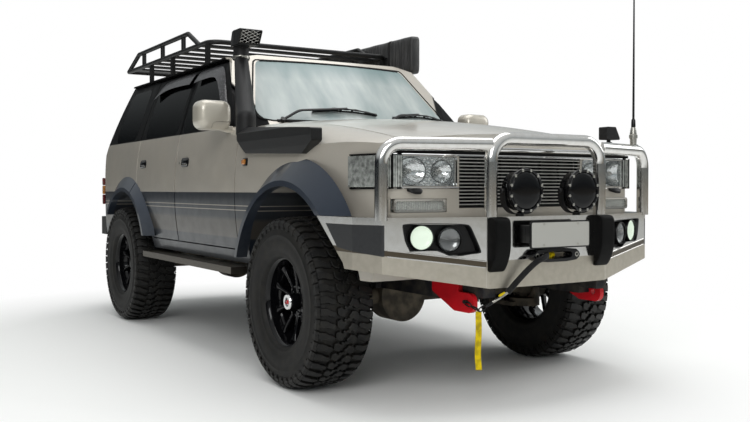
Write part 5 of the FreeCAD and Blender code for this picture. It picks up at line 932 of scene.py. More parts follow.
def headlamp_cover():
    """Clear cover: thickness 2.5 mm, its edge rounded back by 6 mm at the sides."""
    width, height = LAMP_Y[1] - LAMP_Y[0], LAMP_Z[1] - LAMP_Z[0]
    centre = (sum(LAMP_Y) / 2, sum(LAMP_Z) / 2)
    rings = []
    for shrink, depth in ((0.0, 0.012), (0.0, 0.004), (0.004, -0.001), (0.012, -0.0025),
                          (0.012, 0.0), (0.006, 0.004), (0.004, 0.012)):
        ring = rounded_outline(width - 2 * shrink, height - 2 * shrink, 0.012, centre)
        rings.append(on_nose(*ring.T, depth))
    verts, quads = grid(np.array(rings), wrap_rows=True, wrap_columns=True)
    count = len(rings[0])
    faces = [list(range(3 * count, 4 * count)), list(range(4 * count, 5 * count))[::-1]]
    return verts, quads.tolist() + faces


frame_ring = rounded_outline(0.350, 0.138, 0.012, (0.587, 1.113), 6)
lamp_frame = section_along(on_nose(frame_ring[:, 0], frame_ring[:, 1], 0.003), (0, 0, 1),
                           (1, 0, 0), 0.005, 0.012, 8, closed=True)
SHIELD = [(0.0, 0.0), (0.0, 0.014), (0.012, 0.014), (0.024, 0.011), (0.030, 0.006), (0.031, 0.0)]
shields = [turned(SHIELD, on_nose(cy, cz, 0.050), "X", 24) for cy, cz, _, _ in BOWLS]
reflectors = piece("headlamp_reflectors", both_sides(headlamp_reflector()), REFLECTOR,
                   smooth=25.0)
piece("headlamp_bulb_shields", both_sides(*shields), CHROME_DUSTY)
turn_round = np.linspace(0, 2 * np.pi, 48, endpoint=False)
bowl_rings = [section_along(on_nose(cy + ry * np.cos(turn_round), cz + rz * np.sin(turn_round),
                                    0.013), (0, 0, 1), (1, 0, 0), 0.0045, 0.010, 8, closed=True)
              for cy, cz, ry, rz in BOWLS]
piece("headlamp_bowl_rings", both_sides(*bowl_rings), GLOSS_BLACK)
piece("headlamp_covers", both_sides(headlamp_cover()), LENS)
piece("headlamp_frames", both_sides(lamp_frame), CHROME)

# %% Corner, park and rear lamps
corner = corner_plan((2.1355, 0.7785), NOSE_CORNER, (1.8825, 0.8377), 0.095, 14)
corner_cover = plan_strip(corner, 1.0325, 1.1935, -0.0005, 0.004, -1.0)
corner_back = plan_strip(corner, 1.040, 1.186, -0.016, 0.004, -1.0)
piece("corner_lamp_backs", both_sides(corner_back), RIB_GLINTS)
edges = [plan_strip(corner, low, high, 0.0008, 0.012, -1.0) for low, high in
         ((1.0310, 1.0385), (1.1880, 1.1955))]
edges += [section_along([(x, y, 1.032), (x, y, 1.194)], (1, 0, 0), (0, 1, 0), wide, deep, 8, 5.0)
          for x, y, wide, deep in ((2.1372, 0.7735, 0.012, 0.010), (1.8860, 0.8372, 0.014, 0.009))]
piece("corner_lamp_seals", both_sides(*edges), RUBBER)
piece("corner_lamp_covers", both_sides(corner_cover), FLUTED_CLEAR)
park = rounded_outline(0.290, 0.060, 0.014, (0.620, 0.954), 6)
park_in = rounded_outline(0.266, 0.040, 0.010, (0.620, 0.954), 6)
rim_rings = [on_nose(*ring.T, depth) for ring, depth in ((park, 0.010), (park, -0.004),
                                                         (park_in, -0.002), (park_in, 0.012))]
park_rim = grid(np.array(rim_rings), wrap_rows=True, wrap_columns=True)
park_lens = capped([on_nose(*park_in.T, depth) for depth in (0.014, 0.003)])
park_back = capped([on_nose(*park.T, depth) for depth in (0.027, 0.018)])
screws = [turned([(-0.002, 0.0), (-0.002, 0.005), (0.0045, 0.0045), (0.0055, 0.0)],
                 on_nose(y, 0.954, 0.0), "X", 12) for y in (0.481, 0.759)]
piece("park_lamp_rims", both_sides(park_rim), CHROME_DUSTY)
piece("park_lamp_lenses", both_sides(park_lens), FLUTED_CLEAR)
piece("park_lamp_backs", both_sides(park_back), RIB_GLINTS)
piece("park_lamp_screws", both_sides(*screws), STEEL)
tail = corner_plan((-2.1695, 0.770), (-2.1695, 0.914), (-2.099, 0.915), 0.060, 12)
rear_bands = ((0.903, 0.985, RED_LENS, "low"), (0.988, 1.062, AMBER_LENS, "middle"),
              (1.065, 1.127, RED_LENS, "top"))
for low, high, material, name in rear_bands:
    strip = plan_strip(tail, low, high, 0.002, 0.016)
    piece(f"rear_lamp_{name}", both_sides(strip), material)
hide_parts("lamps")

# %% [markdown]
# ## Grille backing and bright trim
#
# Behind the fins of the grille is the dark radiator, and bright strips run along the
# bonnet's lip and under the headlamps. The strips are sections carried along the nose.

# %% Grille backing, trim strips and washers
backing = box_part((2.0955, -0.396, 0.942), (2.098, 0.396, 1.188), 0.0005)
piece("radiator_core", [backing], SMOOTH_BLACK)
fin_run = np.linspace(-0.3955, 0.3955, 33)
fins = [nose_strip(fin_run, z, 0.012, 0.026, 0.0062, 8, 2.6)
        for z in np.linspace(0.9565, 1.1745, 14)]
posts = [section_along([on_nose(y, 0.944, 0.024), on_nose(y, 1.186, 0.024)], (1, 0, 0),
                       (0, 1, 0), 0.020, 0.009, 8, 4.0)
         for y in (-0.3935, -0.262, -0.131, 0.0, 0.131, 0.262, 0.3935)]
rails = [nose_strip(fin_run, z, 0.010, 0.024, 0.010, 8, 4.0) for z in (0.9455, 1.1850)]
grille_fins = piece("grille_fins", fins, FIN_METAL, smooth=50.0)
piece("grille_posts", posts + rails, SMOOTH_BLACK)
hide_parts("grille")
y_run = np.linspace(-0.772, 0.772, 41)
lip = nose_strip(y_run, 1.190, -0.001, 0.012, 0.009)
lid_strip = nose_strip(np.linspace(-0.700, 0.700, 37), 1.2235, -0.001, 0.010, 0.019)
piece("bonnet_strip", [lid_strip], CHROME, "bonnet_lid")
# A black strip sunk in the gap under the bonnet's lip stands for the gap's shade: painted shade.
shade = nose_strip(y_run, 1.202, 0.003, 0.010, 0.014, 8, 5.0)
piece("nose_gap_shade_strip", [shade], RUBBER)
under = nose_strip(np.linspace(0.404, 0.768, 12), 1.036, -0.001, 0.010, 0.009)
piece("bright_nose_strips", [lip] + both_sides(under), CHROME)
washer_path = np.array([on_nose(0.655, 1.026, 0.0), on_nose(0.655, 1.022, -0.022),
                        on_nose(0.655, 1.012, -0.034)])
washer = section_along(washer_path, (0, 1, 0), (0, 0, 1), (0.078, 0.070, 0.040),
                       (0.020, 0.024, 0.012), 14, 3.0)
piece("headlamp_washers", both_sides(washer), SMOOTH_BLACK)
print("nose lamps and trim are in place")

# %% [markdown]
# ## Driving lamps and fog lamps
#
# The round driving lamps are cast black housings with cooling fins behind, a bezel held
# by screws and a glossy domed cover. They are turned about the vehicle's length. The fog
# lamps sit in black moulded panels that lie on the slanted wings of the bar; every point
# of a panel is given by its y, its z and its distance off the wing.

# %% Driving lamps
def driving_lamp(y, z=1.023):
    """Housing, cover, screws and cradle of one lamp; profiles are (x, radius) pairs."""
    fins = [(x, r) for k in range(7) for x, r in ((2.312 + 0.006 * k, 0.076),
                                                  (2.3125 + 0.006 * k, 0.094),
                                                  (2.3150 + 0.006 * k, 0.094),
                                                  (2.3155 + 0.006 * k, 0.076))]
    housing = turned([(2.294, 0.0), (2.294, 0.040), (2.300, 0.062), (2.308, 0.070)] + fins
                     + [(2.3535, 0.090), (2.357, 0.1005), (2.366, 0.1035), (2.379, 0.1038),
                        (2.3835, 0.1015), (2.385, 0.097), (2.3835, 0.0915), (2.380, 0.0895),
                        (2.376, 0.0885), (2.376, 0.0)], (0, y, z), "X", 72)
    cover = turned([(2.377, 0.0885), (2.3815, 0.0870), (2.3835, 0.0800), (2.3850, 0.060),
                    (2.3857, 0.030), (2.386, 0.0)], (0, y, z), "X", 72)
    screws = []
    for angle in np.arange(12) * np.pi / 6 + np.pi / 12:
        middle = (0, y + 0.0965 * np.cos(angle), z + 0.0965 * np.sin(angle))
        screws.append(turned([(2.372, 0.0), (2.372, 0.0072), (2.3855, 0.0068), (2.3865, 0.0048),
                              (2.3865, 0.0)], middle, "X", 10))
    arch = rounded_run([(2.335, y - 0.106, z), (2.335, y - 0.106, 0.962),
                        (2.335, y - 0.055, 0.914), (2.335, y + 0.055, 0.914),
                        (2.335, y + 0.106, 0.962), (2.335, y + 0.106, z)],
                       (0.03, 0.03, 0.03, 0.03))
    tangent = np.gradient(arch, axis=0)
    normal = unit(np.stack([0 * tangent[:, 0], tangent[:, 2], -tangent[:, 1]], -1))
    cradle = [section_along(arch, normal, (1, 0, 0), 0.005, 0.036, 8, 6.0)]
    cradle.append(turned([(0.902, 0.0), (0.902, 0.020), (0.912, 0.020), (0.924, 0.011),
                          (0.924, 0.0)], (2.335, y, 0), "Z", 6))
    side_bolt = [(0.100, 0.013), (0.112, 0.013), (0.1165, 0.009), (0.1165, 0.0)]
    cradle += [turned(side_bolt, (2.335, y, z), "Y", 6, side) for side in (-1, 1)]
    return [housing], [cover], screws, cradle


housings, covers, lamp_screws, cradles = (
    right + left for right, left in zip(driving_lamp(-0.184), driving_lamp(0.184)))
lamp_bodies = piece("driving_lamp_housings", housings, GLOSS_BLACK, smooth=30.0)
piece("driving_lamp_covers", covers, GLOSS_BLACK, smooth=60.0)
piece("driving_lamp_screws", lamp_screws, STEEL)
piece("driving_lamp_cradles", cradles, BLACK_PAINT)
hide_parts("driving_lamps")

# %% Fog lamps in their panels
WING_X, WING_Y, WING_SLOPE = 2.182, 0.858, 0.3292
WING_OUT = np.array([0.9498, 0.3127, 0.0])
PANEL = np.array([(0.764, 0.876), (0.620, 0.876), (0.478, 0.872), (0.461, 0.862),
                  (0.447, 0.832), (0.409, 0.744), (0.416, 0.736), (0.463, 0.732),
                  (0.500, 0.7255), (0.530, 0.7235), (0.563, 0.727), (0.592, 0.744),
                  (0.618, 0.752), (0.730, 0.749), (0.744, 0.766), (0.758, 0.800),
                  (0.768, 0.862)])


def on_wing(y, z, off=0.0):
    """Point of the wing face, x = 2.182 + 0.329 (0.858 - y), moved off it along its normal."""
    y, z = np.broadcast_arrays(np.asarray(y, float), z)
    face = np.stack([WING_X + WING_SLOPE * (WING_Y - y), y, z], -1)
    return face + np.asarray(off)[..., None] * WING_OUT


def smooth_outline(points, rounds=2, closed=True):
    """Corner cutting at one and three quarters of each edge; an open line keeps its ends."""
    points = np.array(points, float)
    for _ in range(rounds):
        a, b = (points, np.roll(points, -1, 0)) if closed else (points[:-1], points[1:])
        cut = np.stack([0.75 * a + 0.25 * b, 0.25 * a + 0.75 * b], 1).reshape(-1, 2)
        points = cut if closed else np.concatenate([points[:1], cut[1:-1], points[-1:]])
    return points


def fog_panel():
    """Rings from the panel's edge over its raised rim and down to the flat floor."""
    outline = smooth_outline(PANEL)
    middle = np.array([0.600, 0.805])
    rings = ((1.0, -0.004), (1.0, 0.003), (0.985, 0.006), (0.955, 0.005), (0.925, -0.012),
             (0.90, -0.026))
    return capped([on_wing(*(middle + (outline - middle) * share).T, off)
                   for share, off in rings], start=False)


def turned_to_wing(part, y, z):
    """A part turned about X, swung so that X becomes the wing's normal, and put on the wing."""
    verts, faces = part
    verts = np.asarray(verts)
    level_way = np.array([-WING_OUT[1], WING_OUT[0], 0.0])
    swung = (verts[:, :1] * WING_OUT + verts[:, 1:2] * level_way
             + verts[:, 2:] * np.array([0, 0, 1.0]))
    return swung + on_wing(y, z), faces


def fog_lamp(y, z, radius=0.053):
    """Round fog lamp facing along the wing's normal, as (off, radius) profiles."""
    r = radius
    collar = [(-0.050, r + 0.0050), (0.001, r + 0.0065), (0.0045, r + 0.0045),
              (0.004, r + 0.0015), (-0.004, r), (-0.050, r)]
    bowl = [(-0.006, r), (-0.012, 0.92 * r), (-0.0185, 0.72 * r), (-0.0225, 0.38 * r),
            (-0.0235, 0.0)]
    lens = [(-0.007, r), (-0.002, 0.96 * r), (0.0015, 0.70 * r), (0.003, 0.35 * r), (0.0035, 0.0)]
    return [turned_to_wing(turned(profile, (0, 0, 0), "X", 48), y, z)
            for profile in (collar, bowl, lens)]


bright, dark = fog_lamp(0.681, 0.811), fog_lamp(0.556, 0.801)
piece("fog_panels", both_sides(fog_panel()), SMOOTH_BLACK, smooth=30.0)
piece("fog_collars", both_sides(bright[0], dark[0]), SMOOTH_BLACK)
for name, part, material in (("lit_fog_bowls", bright[1], FOG_GLOW),
                             ("dark_fog_bowls", dark[1], REFLECTOR),
                             ("lit_fog_lenses", bright[2], LENS),
                             ("dark_fog_lenses", dark[2], SMOKED_LENS)):
    piece(name, both_sides(part), material)
print("lamps on the bar are in place")

# %% [markdown]
# ## Number plate, fairlead and rubber buffers
#
# A blank plate hangs on the bar's dark slot, and below it the winch line leaves through a
# hawse fairlead, a block with one long rounded slot between two bolts. The buffers are
# moulded rubber: one outline seen from the side, 88 mm wide, with soft edges.

# %% Plate and fairlead
plate = slab(rounded_outline(0.368, 0.116, 0.008, (0, 0.816)), 2.4165, 2.4195, "YZ", 0.0008)
holder = slab(rounded_outline(0.382, 0.129, 0.012, (0, 0.816)), 2.408, 2.4175, "YZ", 0.001)
plate_screws = [turned([(2.419, 0.0), (2.419, 0.0060), (2.4202, 0.0054), (2.4203, 0.0)],
                       (0, y, z), "X", 14)
                for y in (-0.109, 0.109) for z in (0.768, 0.866)]
brackets = [box_part((2.352, y - 0.014, 0.776), (2.408, y + 0.014, 0.860)) for y in (-0.15, 0.15)]
half_outer = np.array([(0.118, 0.684), (0.150, 0.706), (0.150, 0.724), (0.118, 0.748)])
half_slot = np.array([(0.075, 0.703), (0.092, 0.710), (0.092, 0.722), (0.075, 0.729)])
outer, slot = (smooth_outline([*half, *(half * [-1, 1])[::-1]], 1)
               for half in (half_outer, half_slot))
wide_slot = np.array([0, 0.716]) + (slot - [0, 0.716]) * [1.06, 1.30]
rings = [(outer, 2.352), (outer, 2.391), (outer * [0.98, 1], 2.395), (wide_slot, 2.3955),
         (slot, 2.385), (slot, 2.352)]
hawse = grid(in_plane(rings, "YZ"), wrap_rows=True, wrap_columns=True)
bolts = [turned([(2.394, 0.0), (2.394, 0.012), (2.3955, 0.012), (2.3957, 0.0070),
                 (2.3925, 0.0066), (2.3925, 0.0)], (0, y, 0.716), "X", 24)
         for y in (-0.127, 0.127)]
hawse_piece = piece("fairlead_block", [hawse], GLOSS_BLACK, smooth=30.0)
piece("fairlead_bolts", bolts, STEEL)
piece("number_plate", [plate], BLANK_PLATE)
piece("plate_holder", [holder] + brackets, SMOOTH_BLACK)
piece("plate_screws", plate_screws, STEEL)
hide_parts("fairlead")

# %% Buffers
def buffer(y):
    """Moulded side view, tucked back below, that shrinks towards both its ends."""
    outline = smooth_outline([(2.336, 0.902), (2.372, 0.902), (2.392, 0.896), (2.400, 0.876),
                              (2.401, 0.790), (2.398, 0.742), (2.384, 0.696), (2.362, 0.656),
                              (2.348, 0.646), (2.338, 0.654), (2.334, 0.720), (2.334, 0.860)])
    middle = np.array([2.352, 0.780])
    rings = ((0.97, -0.044), (0.993, -0.040), (1.0, -0.032), (1.0, 0.032), (0.993, 0.040),
             (0.97, 0.044))
    return capped(in_plane([(middle + (outline - middle) * share, y + off)
                            for share, off in rings], "XZ"))


buffers = piece("rubber_buffers", both_sides(buffer(0.338)), RUBBER, smooth=40.0)
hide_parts("bar_buffers")

# %% [markdown]
# ## Winch line, hook and pull strap
#
# The line leaves the fairlead's slot, goes round its edge and runs down to the hook. It is
# a cord of fixed length, so it is one smooth spline led by the points of its route. The
# hook is forged steel with a yellow latch. Four chain links join it to a pin through the
# right-hand recovery eye, and a short webbing strap hangs from the chain.

# %% Line
LINE_Z, LINE_THICK, LINE_LENGTH = 0.7145, 0.028, 0.325
LINE_ROUTE = [(2.360, -0.040, LINE_Z), (2.420, -0.084, LINE_Z), (2.408, -0.170, LINE_Z - 0.0275),
              (2.367, -0.286, LINE_Z - 0.1625)]


def add_line():
    """Taut line as an open NURBS spline of order three over its route's points."""
    curve = bpy.data.curves.new("winch_line_sleeve", "CURVE")
    curve.dimensions = "3D"
    spline = curve.splines.new("NURBS")
    spline.points.add(len(LINE_ROUTE) - 1)
    for point, place in zip(spline.points, LINE_ROUTE):
        point.co = (*place, 1.0)
    spline.order_u = 3
    spline.use_endpoint_u = True
    spline.resolution_u = 24
    curve.bevel_depth = LINE_THICK / 2
    curve.bevel_resolution = 6
    curve.use_fill_caps = True
    curve.materials.append(SLEEVE)
    obj = new_object("winch_line_sleeve", curve)
    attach(obj, "vehicle")
    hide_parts("winch_line")
    return obj


line = add_line()
rope_end = section_along([(2.350, 0.012, LINE_Z), (2.367, -0.020, LINE_Z)], (0.88, 0.47, 0),
                         (0, 0, 1), 0.024, 0.024, 12)
piece("rope_end", [rope_end], YELLOW_DYE)

# %% Hook, chain and strap
HOOK_START, HOOK_END = np.array([2.367, -0.286, 0.552]), np.array([2.335, -0.350, 0.507])
CHAIN_LOW, EYE = np.array([2.335, -0.428, 0.475]), np.array([2.240, -0.440, 0.506])


def along_and_side(start, finish):
    """Unit vector from start to finish, and a level one square to it."""
    way = unit(finish - start)
    return way, unit(np.cross(way, [0, 0, 1.0]))


way, side = along_and_side(HOOK_START, HOOK_END)
t = np.linspace(0, 1, 13)[:, None]
shank = section_along(HOOK_START + t * (HOOK_END - HOOK_START), side, np.cross(side, way),
                      0.013 + 0.016 * np.sin(np.pi * t[:, 0]) ** 2, 0.012, 12, 3.0)
latch = section_along(HOOK_START + np.array([[0.12], [0.4], [0.52]]) * (HOOK_END - HOOK_START)
                      + np.cross(side, way) * 0.008, side, np.cross(side, way),
                      (0.016, 0.026, 0.012), (0.006, 0.010, 0.006), 10, 4.0)
hook_piece = piece("hook_shank", [shank], STEEL)
piece("hook_latch", [latch], YELLOW_DYE)


def chain_link(middle, way, flat, thick=0.0075):
    """One link, 54 x 26 mm: (a cos t, b sin t) squared a little, with a round section."""
    turn = np.linspace(0, 2 * np.pi, 24, endpoint=False)
    path = (middle + np.outer(squared(np.cos(turn), 2.5) * (0.054 - thick) / 2, way)
            + np.outer(np.sin(turn) * (0.026 - thick) / 2, np.cross(way, flat)))
    return section_along(path, unit(path - middle), flat, thick, thick, 8, closed=True)


links = []
for start, finish, count in ((HOOK_END, CHAIN_LOW, 2), (CHAIN_LOW, EYE, 2)):
    way, side = along_and_side(start, finish)
    up = np.cross(side, way)
    for k in range(count):
        middle = start + (finish - start) * (k + 0.5) / count
        links.append(chain_link(middle, way, side if k % 2 else up))
pin = turned([(-0.044, 0.0), (-0.044, 0.0085), (-0.040, 0.0095), (-0.038, 0.0075),
              (-0.004, 0.0075), (0.000, 0.0075), (0.000, 0.0)], (2.240, -0.400, 0.506), "Y", 20)
piece("chain_and_pin", links + [pin], BLACK_PAINT)
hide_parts("winch_hook")


def add_strap():
    """Webbing strap: hangs from the chain, curls by a sine and twists a few degrees."""
    rows = np.linspace(0, 1, 40)[:, None]
    columns = np.linspace(-1, 1, 9)[None, :]
    turn = 0.30 + 0.25 * rows
    y = CHAIN_LOW[1] + 0.0145 * columns * np.cos(turn)
    x = (CHAIN_LOW[0] - 0.004 + 0.0145 * columns * np.sin(turn)
         + 0.006 * np.sin(2.2 * np.pi * rows) * rows)
    z = 0.472 - 0.270 * rows + 0 * columns
    verts, faces = grid(np.stack(np.broadcast_arrays(x, y, z), -1))
    obj = piece("pull_strap", [(verts, faces.tolist())], WEBBING)
    wall = obj.modifiers.new("cloth thickness", "SOLIDIFY")
    wall.thickness, wall.offset = 0.0022, 0.0


add_strap()
print("winch line, hook and strap are in place")

# %% [markdown]
# ## Glass surrounds, wipers and side trim
#
# Seals, wind deflectors, handles and wipers all lie on two surfaces: the raked, bowed
# windscreen and the side of the body, which leans in above the belt. Each surface is one
# formula. A trim piece is drawn flat, in two coordinates, and the formula gives its points
# in space with the direction in which it stands proud.

# %% Surfaces that the trim follows
def on_screen(points, off=0.0):
    """Screen point of (y, z): x = 0.643 - 0.924 h - (0.156 + 0.098 h) y^2, h = z - 1.470."""
    y, z = np.array(points, float).T
    h = z - 1.470
    x = 0.6432 - 0.9235 * h - (0.156 + 0.0977 * h) * y ** 2
    normal = unit(np.stack([np.ones_like(y), 2 * (0.156 + 0.0977 * h) * y,
                            0.9235 + 0.0977 * y ** 2], -1))
    return np.stack([x, y, z], -1) + np.asarray(off)[..., None] * normal, normal


def on_side(points, off=0.0):
    """Left side point of (x, z): y = 0.866 - 0.275 d - 0.169 d^2 above the belt, d = z - 1.412."""
    x, z = np.array(points, float).T
    d = z - 1.412
    y = np.where(d > 0, 0.866 - 0.2747 * d - 0.169 * d ** 2, 0.9167 - 0.269 * (z - 1.005) ** 2)
    slope = np.where(d > 0, 0.2747 + 0.338 * d, 0.538 * (z - 1.005))
    normal = unit(np.stack([np.zeros_like(x), np.ones_like(x), slope], -1))
    return np.stack([x, y, z], -1) + np.asarray(off)[..., None] * normal, normal


def resampled(points, step, closed=False):
    """Points spaced evenly along a line of straight runs."""
    points = np.array(points, float)
    if closed:
        points = np.concatenate([points, points[:1]])
    lengths = np.concatenate([[0], np.cumsum(np.linalg.norm(np.diff(points, axis=0), axis=1))])
    at = np.linspace(0, lengths[-1], max(int(lengths[-1] / step), 6) + 1)
    run = np.stack([np.interp(at, lengths, column) for column in points.T], -1)
    return run[:-1] if closed else run


def rounded_loop(points, radius, steps=6):
    """Closed outline whose corners are all rounded by one radius."""
    corners = zip(np.roll(points, 1, 0), points, np.roll(points, -1, 0))
    return np.concatenate([corner_arc(*corner, radius, steps) for corner in corners])


def bead(points, place, wide, high, closed=False, lift=0.0, step=0.025):
    """Raised strip along a flat line: its section spans the surface's tangent and normal."""
    run = resampled(points, step, closed)
    path, normal = place(run, lift)
    tangent = np.gradient(path, axis=0)
    if closed:
        tangent = np.roll(path, -1, 0) - np.roll(path, 1, 0)
    return section_along(path, unit(np.cross(normal, tangent)), normal, wide, high, 8, 3.0, closed)


def stack(centre, steps, rows):
    """Rounded rectangles on the side as rows of (width, height, radius, stand-off), capped."""
    return capped([on_side(rounded_outline(w, h, r, centre, steps), off)[0]
                   for w, h, r, off in rows], start=False)


def door_pair(name, parts, material, door, smooth=35.0):
    """A piece on the left door and its mirror image on the right door."""
    sides = (("left", parts), ("right", [mirrored(part) for part in parts]))
    return [piece(f"{name}_{side}", shown, material, f"{door}_{side}", smooth)
            for side, shown in sides]


# %% Windscreen seal and wipers
half_seal = np.array([(0.622, 1.449), (0.712, 1.464), (0.719, 1.530), (0.577, 1.874)])
screen_loop = rounded_loop(np.concatenate([half_seal, half_seal[::-1] * [-1, 1]]), 0.022)
seal = bead(screen_loop, on_screen, 0.011, 0.007, True)
header = bead([(y, 1.872 - 0.012 * y * y) for y in np.linspace(-0.54, 0.54, 19)], on_screen,
              0.016, 0.009)
cowl = bead([(y, 1.449) for y in np.linspace(-0.60, 0.60, 13)], on_screen, 0.026, 0.010)
piece("windscreen_seal", [seal, header, cowl], RUBBER)


def wiper(pivot, joint, blade):
    """Arm from its pivot to the blade's middle; blade, rubber edge and bridge on the glass."""
    blade = resampled(blade, 0.02)
    along = np.linspace(-1, 1, len(blade))
    rubber, normal = on_screen(blade, 0.008)
    up_bridge, _ = on_screen(blade, 0.016 + 0.012 * (1 - along ** 2))
    tangent = np.gradient(rubber, axis=0)
    across = unit(np.cross(normal, tangent))
    edge = section_along(rubber, across, normal, 0.007, 0.014, 6, 4.0)
    bridge = section_along(up_bridge, across, normal, 0.013 + 0.006 * np.cos(6 * np.pi * along),
                           0.007, 8, 4.0)
    claws = []
    for share in (0.08, 0.27, 0.46, 0.64, 0.83, 0.95):
        k = int(share * (len(blade) - 1))
        claws.append(section_along(np.array([rubber[k], up_bridge[k]]), tangent[k] / 0.02,
                                   across[k], 0.012, 0.014, 6, 4.0))
    points, way = on_screen([pivot, joint, blade[len(blade) // 2]], np.array([12, 40, 34]) * MM)
    arm_path = rounded_run(points, (0.03,))
    arm_across = unit(np.cross(np.gradient(arm_path, axis=0), way[1]))
    arm = section_along(arm_path, arm_across, way[1], 0.017, 0.009, 8, 4.0)
    cap = section_along(on_screen([pivot, pivot], np.array([-0.004, 0.024]))[0], (0, 1, 0),
                        np.cross(way[0], (0, 1, 0)), 0.032, 0.032, 14)
    return [edge, bridge, arm, cap] + claws


wipers = wiper((-0.568, 1.447), (-0.450, 1.492),
               [(-0.349, 1.511), (-0.200, 1.524), (-0.050, 1.520), (0.113, 1.503)])
wipers += wiper((0.195, 1.455), (0.270, 1.488),
                [(0.235, 1.489), (0.405, 1.510), (0.560, 1.508), (0.690, 1.491)])
piece("windscreen_wipers", wipers, SMOOTH_BLACK, smooth=30.0)
print("seal points", len(screen_loop), "wiper parts", len(wipers))

# %% [markdown]
# ## Wind deflectors on the side windows
#
# A deflector is a strip of smoked acrylic stuck round the top of a window frame. Its
# outer edge is 9 mm off the side and its inner edge 33 mm, so rain runs past the
# gap of an open window. Both edges are curves in the side's plane, and the strip is the
# straight blend between them, with the stand-off growing as a root. Rain beads speckle it,
# and the pale middle of each bead is a painted glint.

# %% Wind deflectors
def speckled_acrylic():
    """Gloss black acrylic beaded with rain: cells of a few millimetres, each with a painted pale
    glint.
    """
    material, add, shader = start_material("speckled smoked acrylic", "#17161a", roughness=0.3,
                                           Coat_Weight=0.25, Specular_IOR_Level=0.35)
    drops_and_glints = add("TexVoronoi", {"Vector": add("TexCoord", out="Object"), "Scale": 1 / 0.011},
                out="Distance")
    # The pale stop at the middle of each rain bead is a painted glint; the darker stops are the
    # acrylic.
    connect(shader, Normal=add("Bump", {"Height": drops_and_glints, "Distance": -1.2 * MM, "Strength": 1.0}),
            Base_Color=add("ValToRGB", drops_and_glints, stops=((0.10, "#7d787d"), (0.30, "#2b292e"),
                                                     (0.6, "#0c0b0e"))))
    return material


ACRYLIC = speckled_acrylic()


def deflector(outer, inner):
    """Blend of two edge curves; off the side by 9 mm + 24 mm s^0.7, and 3 mm thick."""
    count, edges = 44, []
    for edge in (outer, inner):
        edge = resampled(smooth_outline(edge, closed=False), 0.02)
        edges.append(np.stack([np.interp(np.linspace(0, 1, count), np.linspace(0, 1, len(edge)),
                                         column) for column in edge.T], -1))
    outer, inner = edges
    rows = []
    for wall, order in ((0.0, 1), (0.003, -1)):
        for s in np.linspace(0, 1, 7)[::order]:
            line = outer * (1 - s) + inner * s
            rows.append(on_side(line, 0.009 + 0.024 * s ** 0.7 - wall)[0])
    verts, quads = grid(np.array(rows), wrap_rows=True)
    row_ends = np.arange(14)[::-1] * count
    return verts, quads.tolist() + [row_ends.tolist(), (row_ends[::-1] + count - 1).tolist()]


FRONT_EDGES = ([(0.452, 1.452), (0.390, 1.545), (0.300, 1.635), (0.200, 1.740), (0.115, 1.815),
                (0.050, 1.838), (-0.050, 1.842), (-0.200, 1.842), (-0.318, 1.838)],
               [(0.440, 1.452), (0.335, 1.545), (0.255, 1.620), (0.160, 1.700), (0.080, 1.745),
                (0.020, 1.757), (-0.070, 1.760), (-0.200, 1.757), (-0.318, 1.750)])
REAR_EDGES = ([(-0.400, 1.838), (-0.600, 1.842), (-0.850, 1.842), (-1.000, 1.835),
               (-1.080, 1.812), (-1.130, 1.760)],
              [(-0.400, 1.750), (-0.600, 1.757), (-0.820, 1.757), (-0.960, 1.745),
               (-1.050, 1.722), (-1.120, 1.700)])
for edges, door in ((FRONT_EDGES, "front_door"), (REAR_EDGES, "rear_door")):
    door_pair(f"deflector_{door}", [deflector(*edges)], ACRYLIC, door, 50.0)

# %% [markdown]
# ## Door handles, locks, markers and mirrors
#
# A pull handle of this age is a rounded pocket in the door with a black flap and a bright
# lower edge. It is a stack of flat rings at different heights off the door. The marker
# lamp on the wing and the lock beside the handle are made the same way.

# %% Handles, locks and markers
def pull_handle(x, z):
    """Pocket ring 134 x 60 mm, raised flap, and a bright strip along the lower edge."""
    bezel = stack((x, z), 8, ((0.134, 0.060, 0.024, -0.002), (0.134, 0.060, 0.024, 0.0045),
                              (0.126, 0.052, 0.022, 0.0065), (0.112, 0.040, 0.018, 0.0045),
                              (0.108, 0.036, 0.016, -0.006)))
    flap = stack((x, z + 0.002), 6, ((0.100, 0.028, 0.010, -0.005), (0.100, 0.028, 0.010, 0.008),
                                     (0.092, 0.020, 0.010, 0.011)))
    strip = bead([(x - 0.048, z - 0.0215), (x, z - 0.0225), (x + 0.048, z - 0.0215)], on_side,
                 0.005, 0.004, lift=0.006, step=0.01)
    return bezel, flap, strip


for door, (x, z) in (("front_door", (-0.165, 1.210)), ("rear_door", (-1.060, 1.218))):
    bezel, flap, strip = pull_handle(x, z)
    door_pair(f"handle_bezel_{door}", [bezel], SMOOTH_BLACK, door)
    door_pair(f"handle_flap_{door}", [flap], GLOSS_BLACK, door)
    door_pair(f"handle_strip_{door}", [strip], CHROME, door)
lock = stack((-0.262, 1.206), 6, ((0.024, 0.024, 0.0119, -0.001), (0.024, 0.024, 0.0119, 0.003),
                                  (0.018, 0.018, 0.0089, 0.0045)))
door_pair("door_lock", [lock], STEEL, "front_door")
marker_base = stack((0.822, 1.186), 5, ((0.060, 0.044, 0.008, -0.002),
                                        (0.060, 0.044, 0.008, 0.006),
                                        (0.054, 0.038, 0.008, 0.008)))
marker_lens = stack((0.818, 1.186), 5, ((0.042, 0.030, 0.006, 0.006),
                                        (0.042, 0.030, 0.006, 0.014),
                                        (0.032, 0.022, 0.006, 0.018)))
piece("marker_bases", both_sides(marker_base), SMOOTH_BLACK)
piece("marker_lenses", both_sides(marker_lens), AMBER_LENS)
print("handles, locks, markers and deflectors are in place")

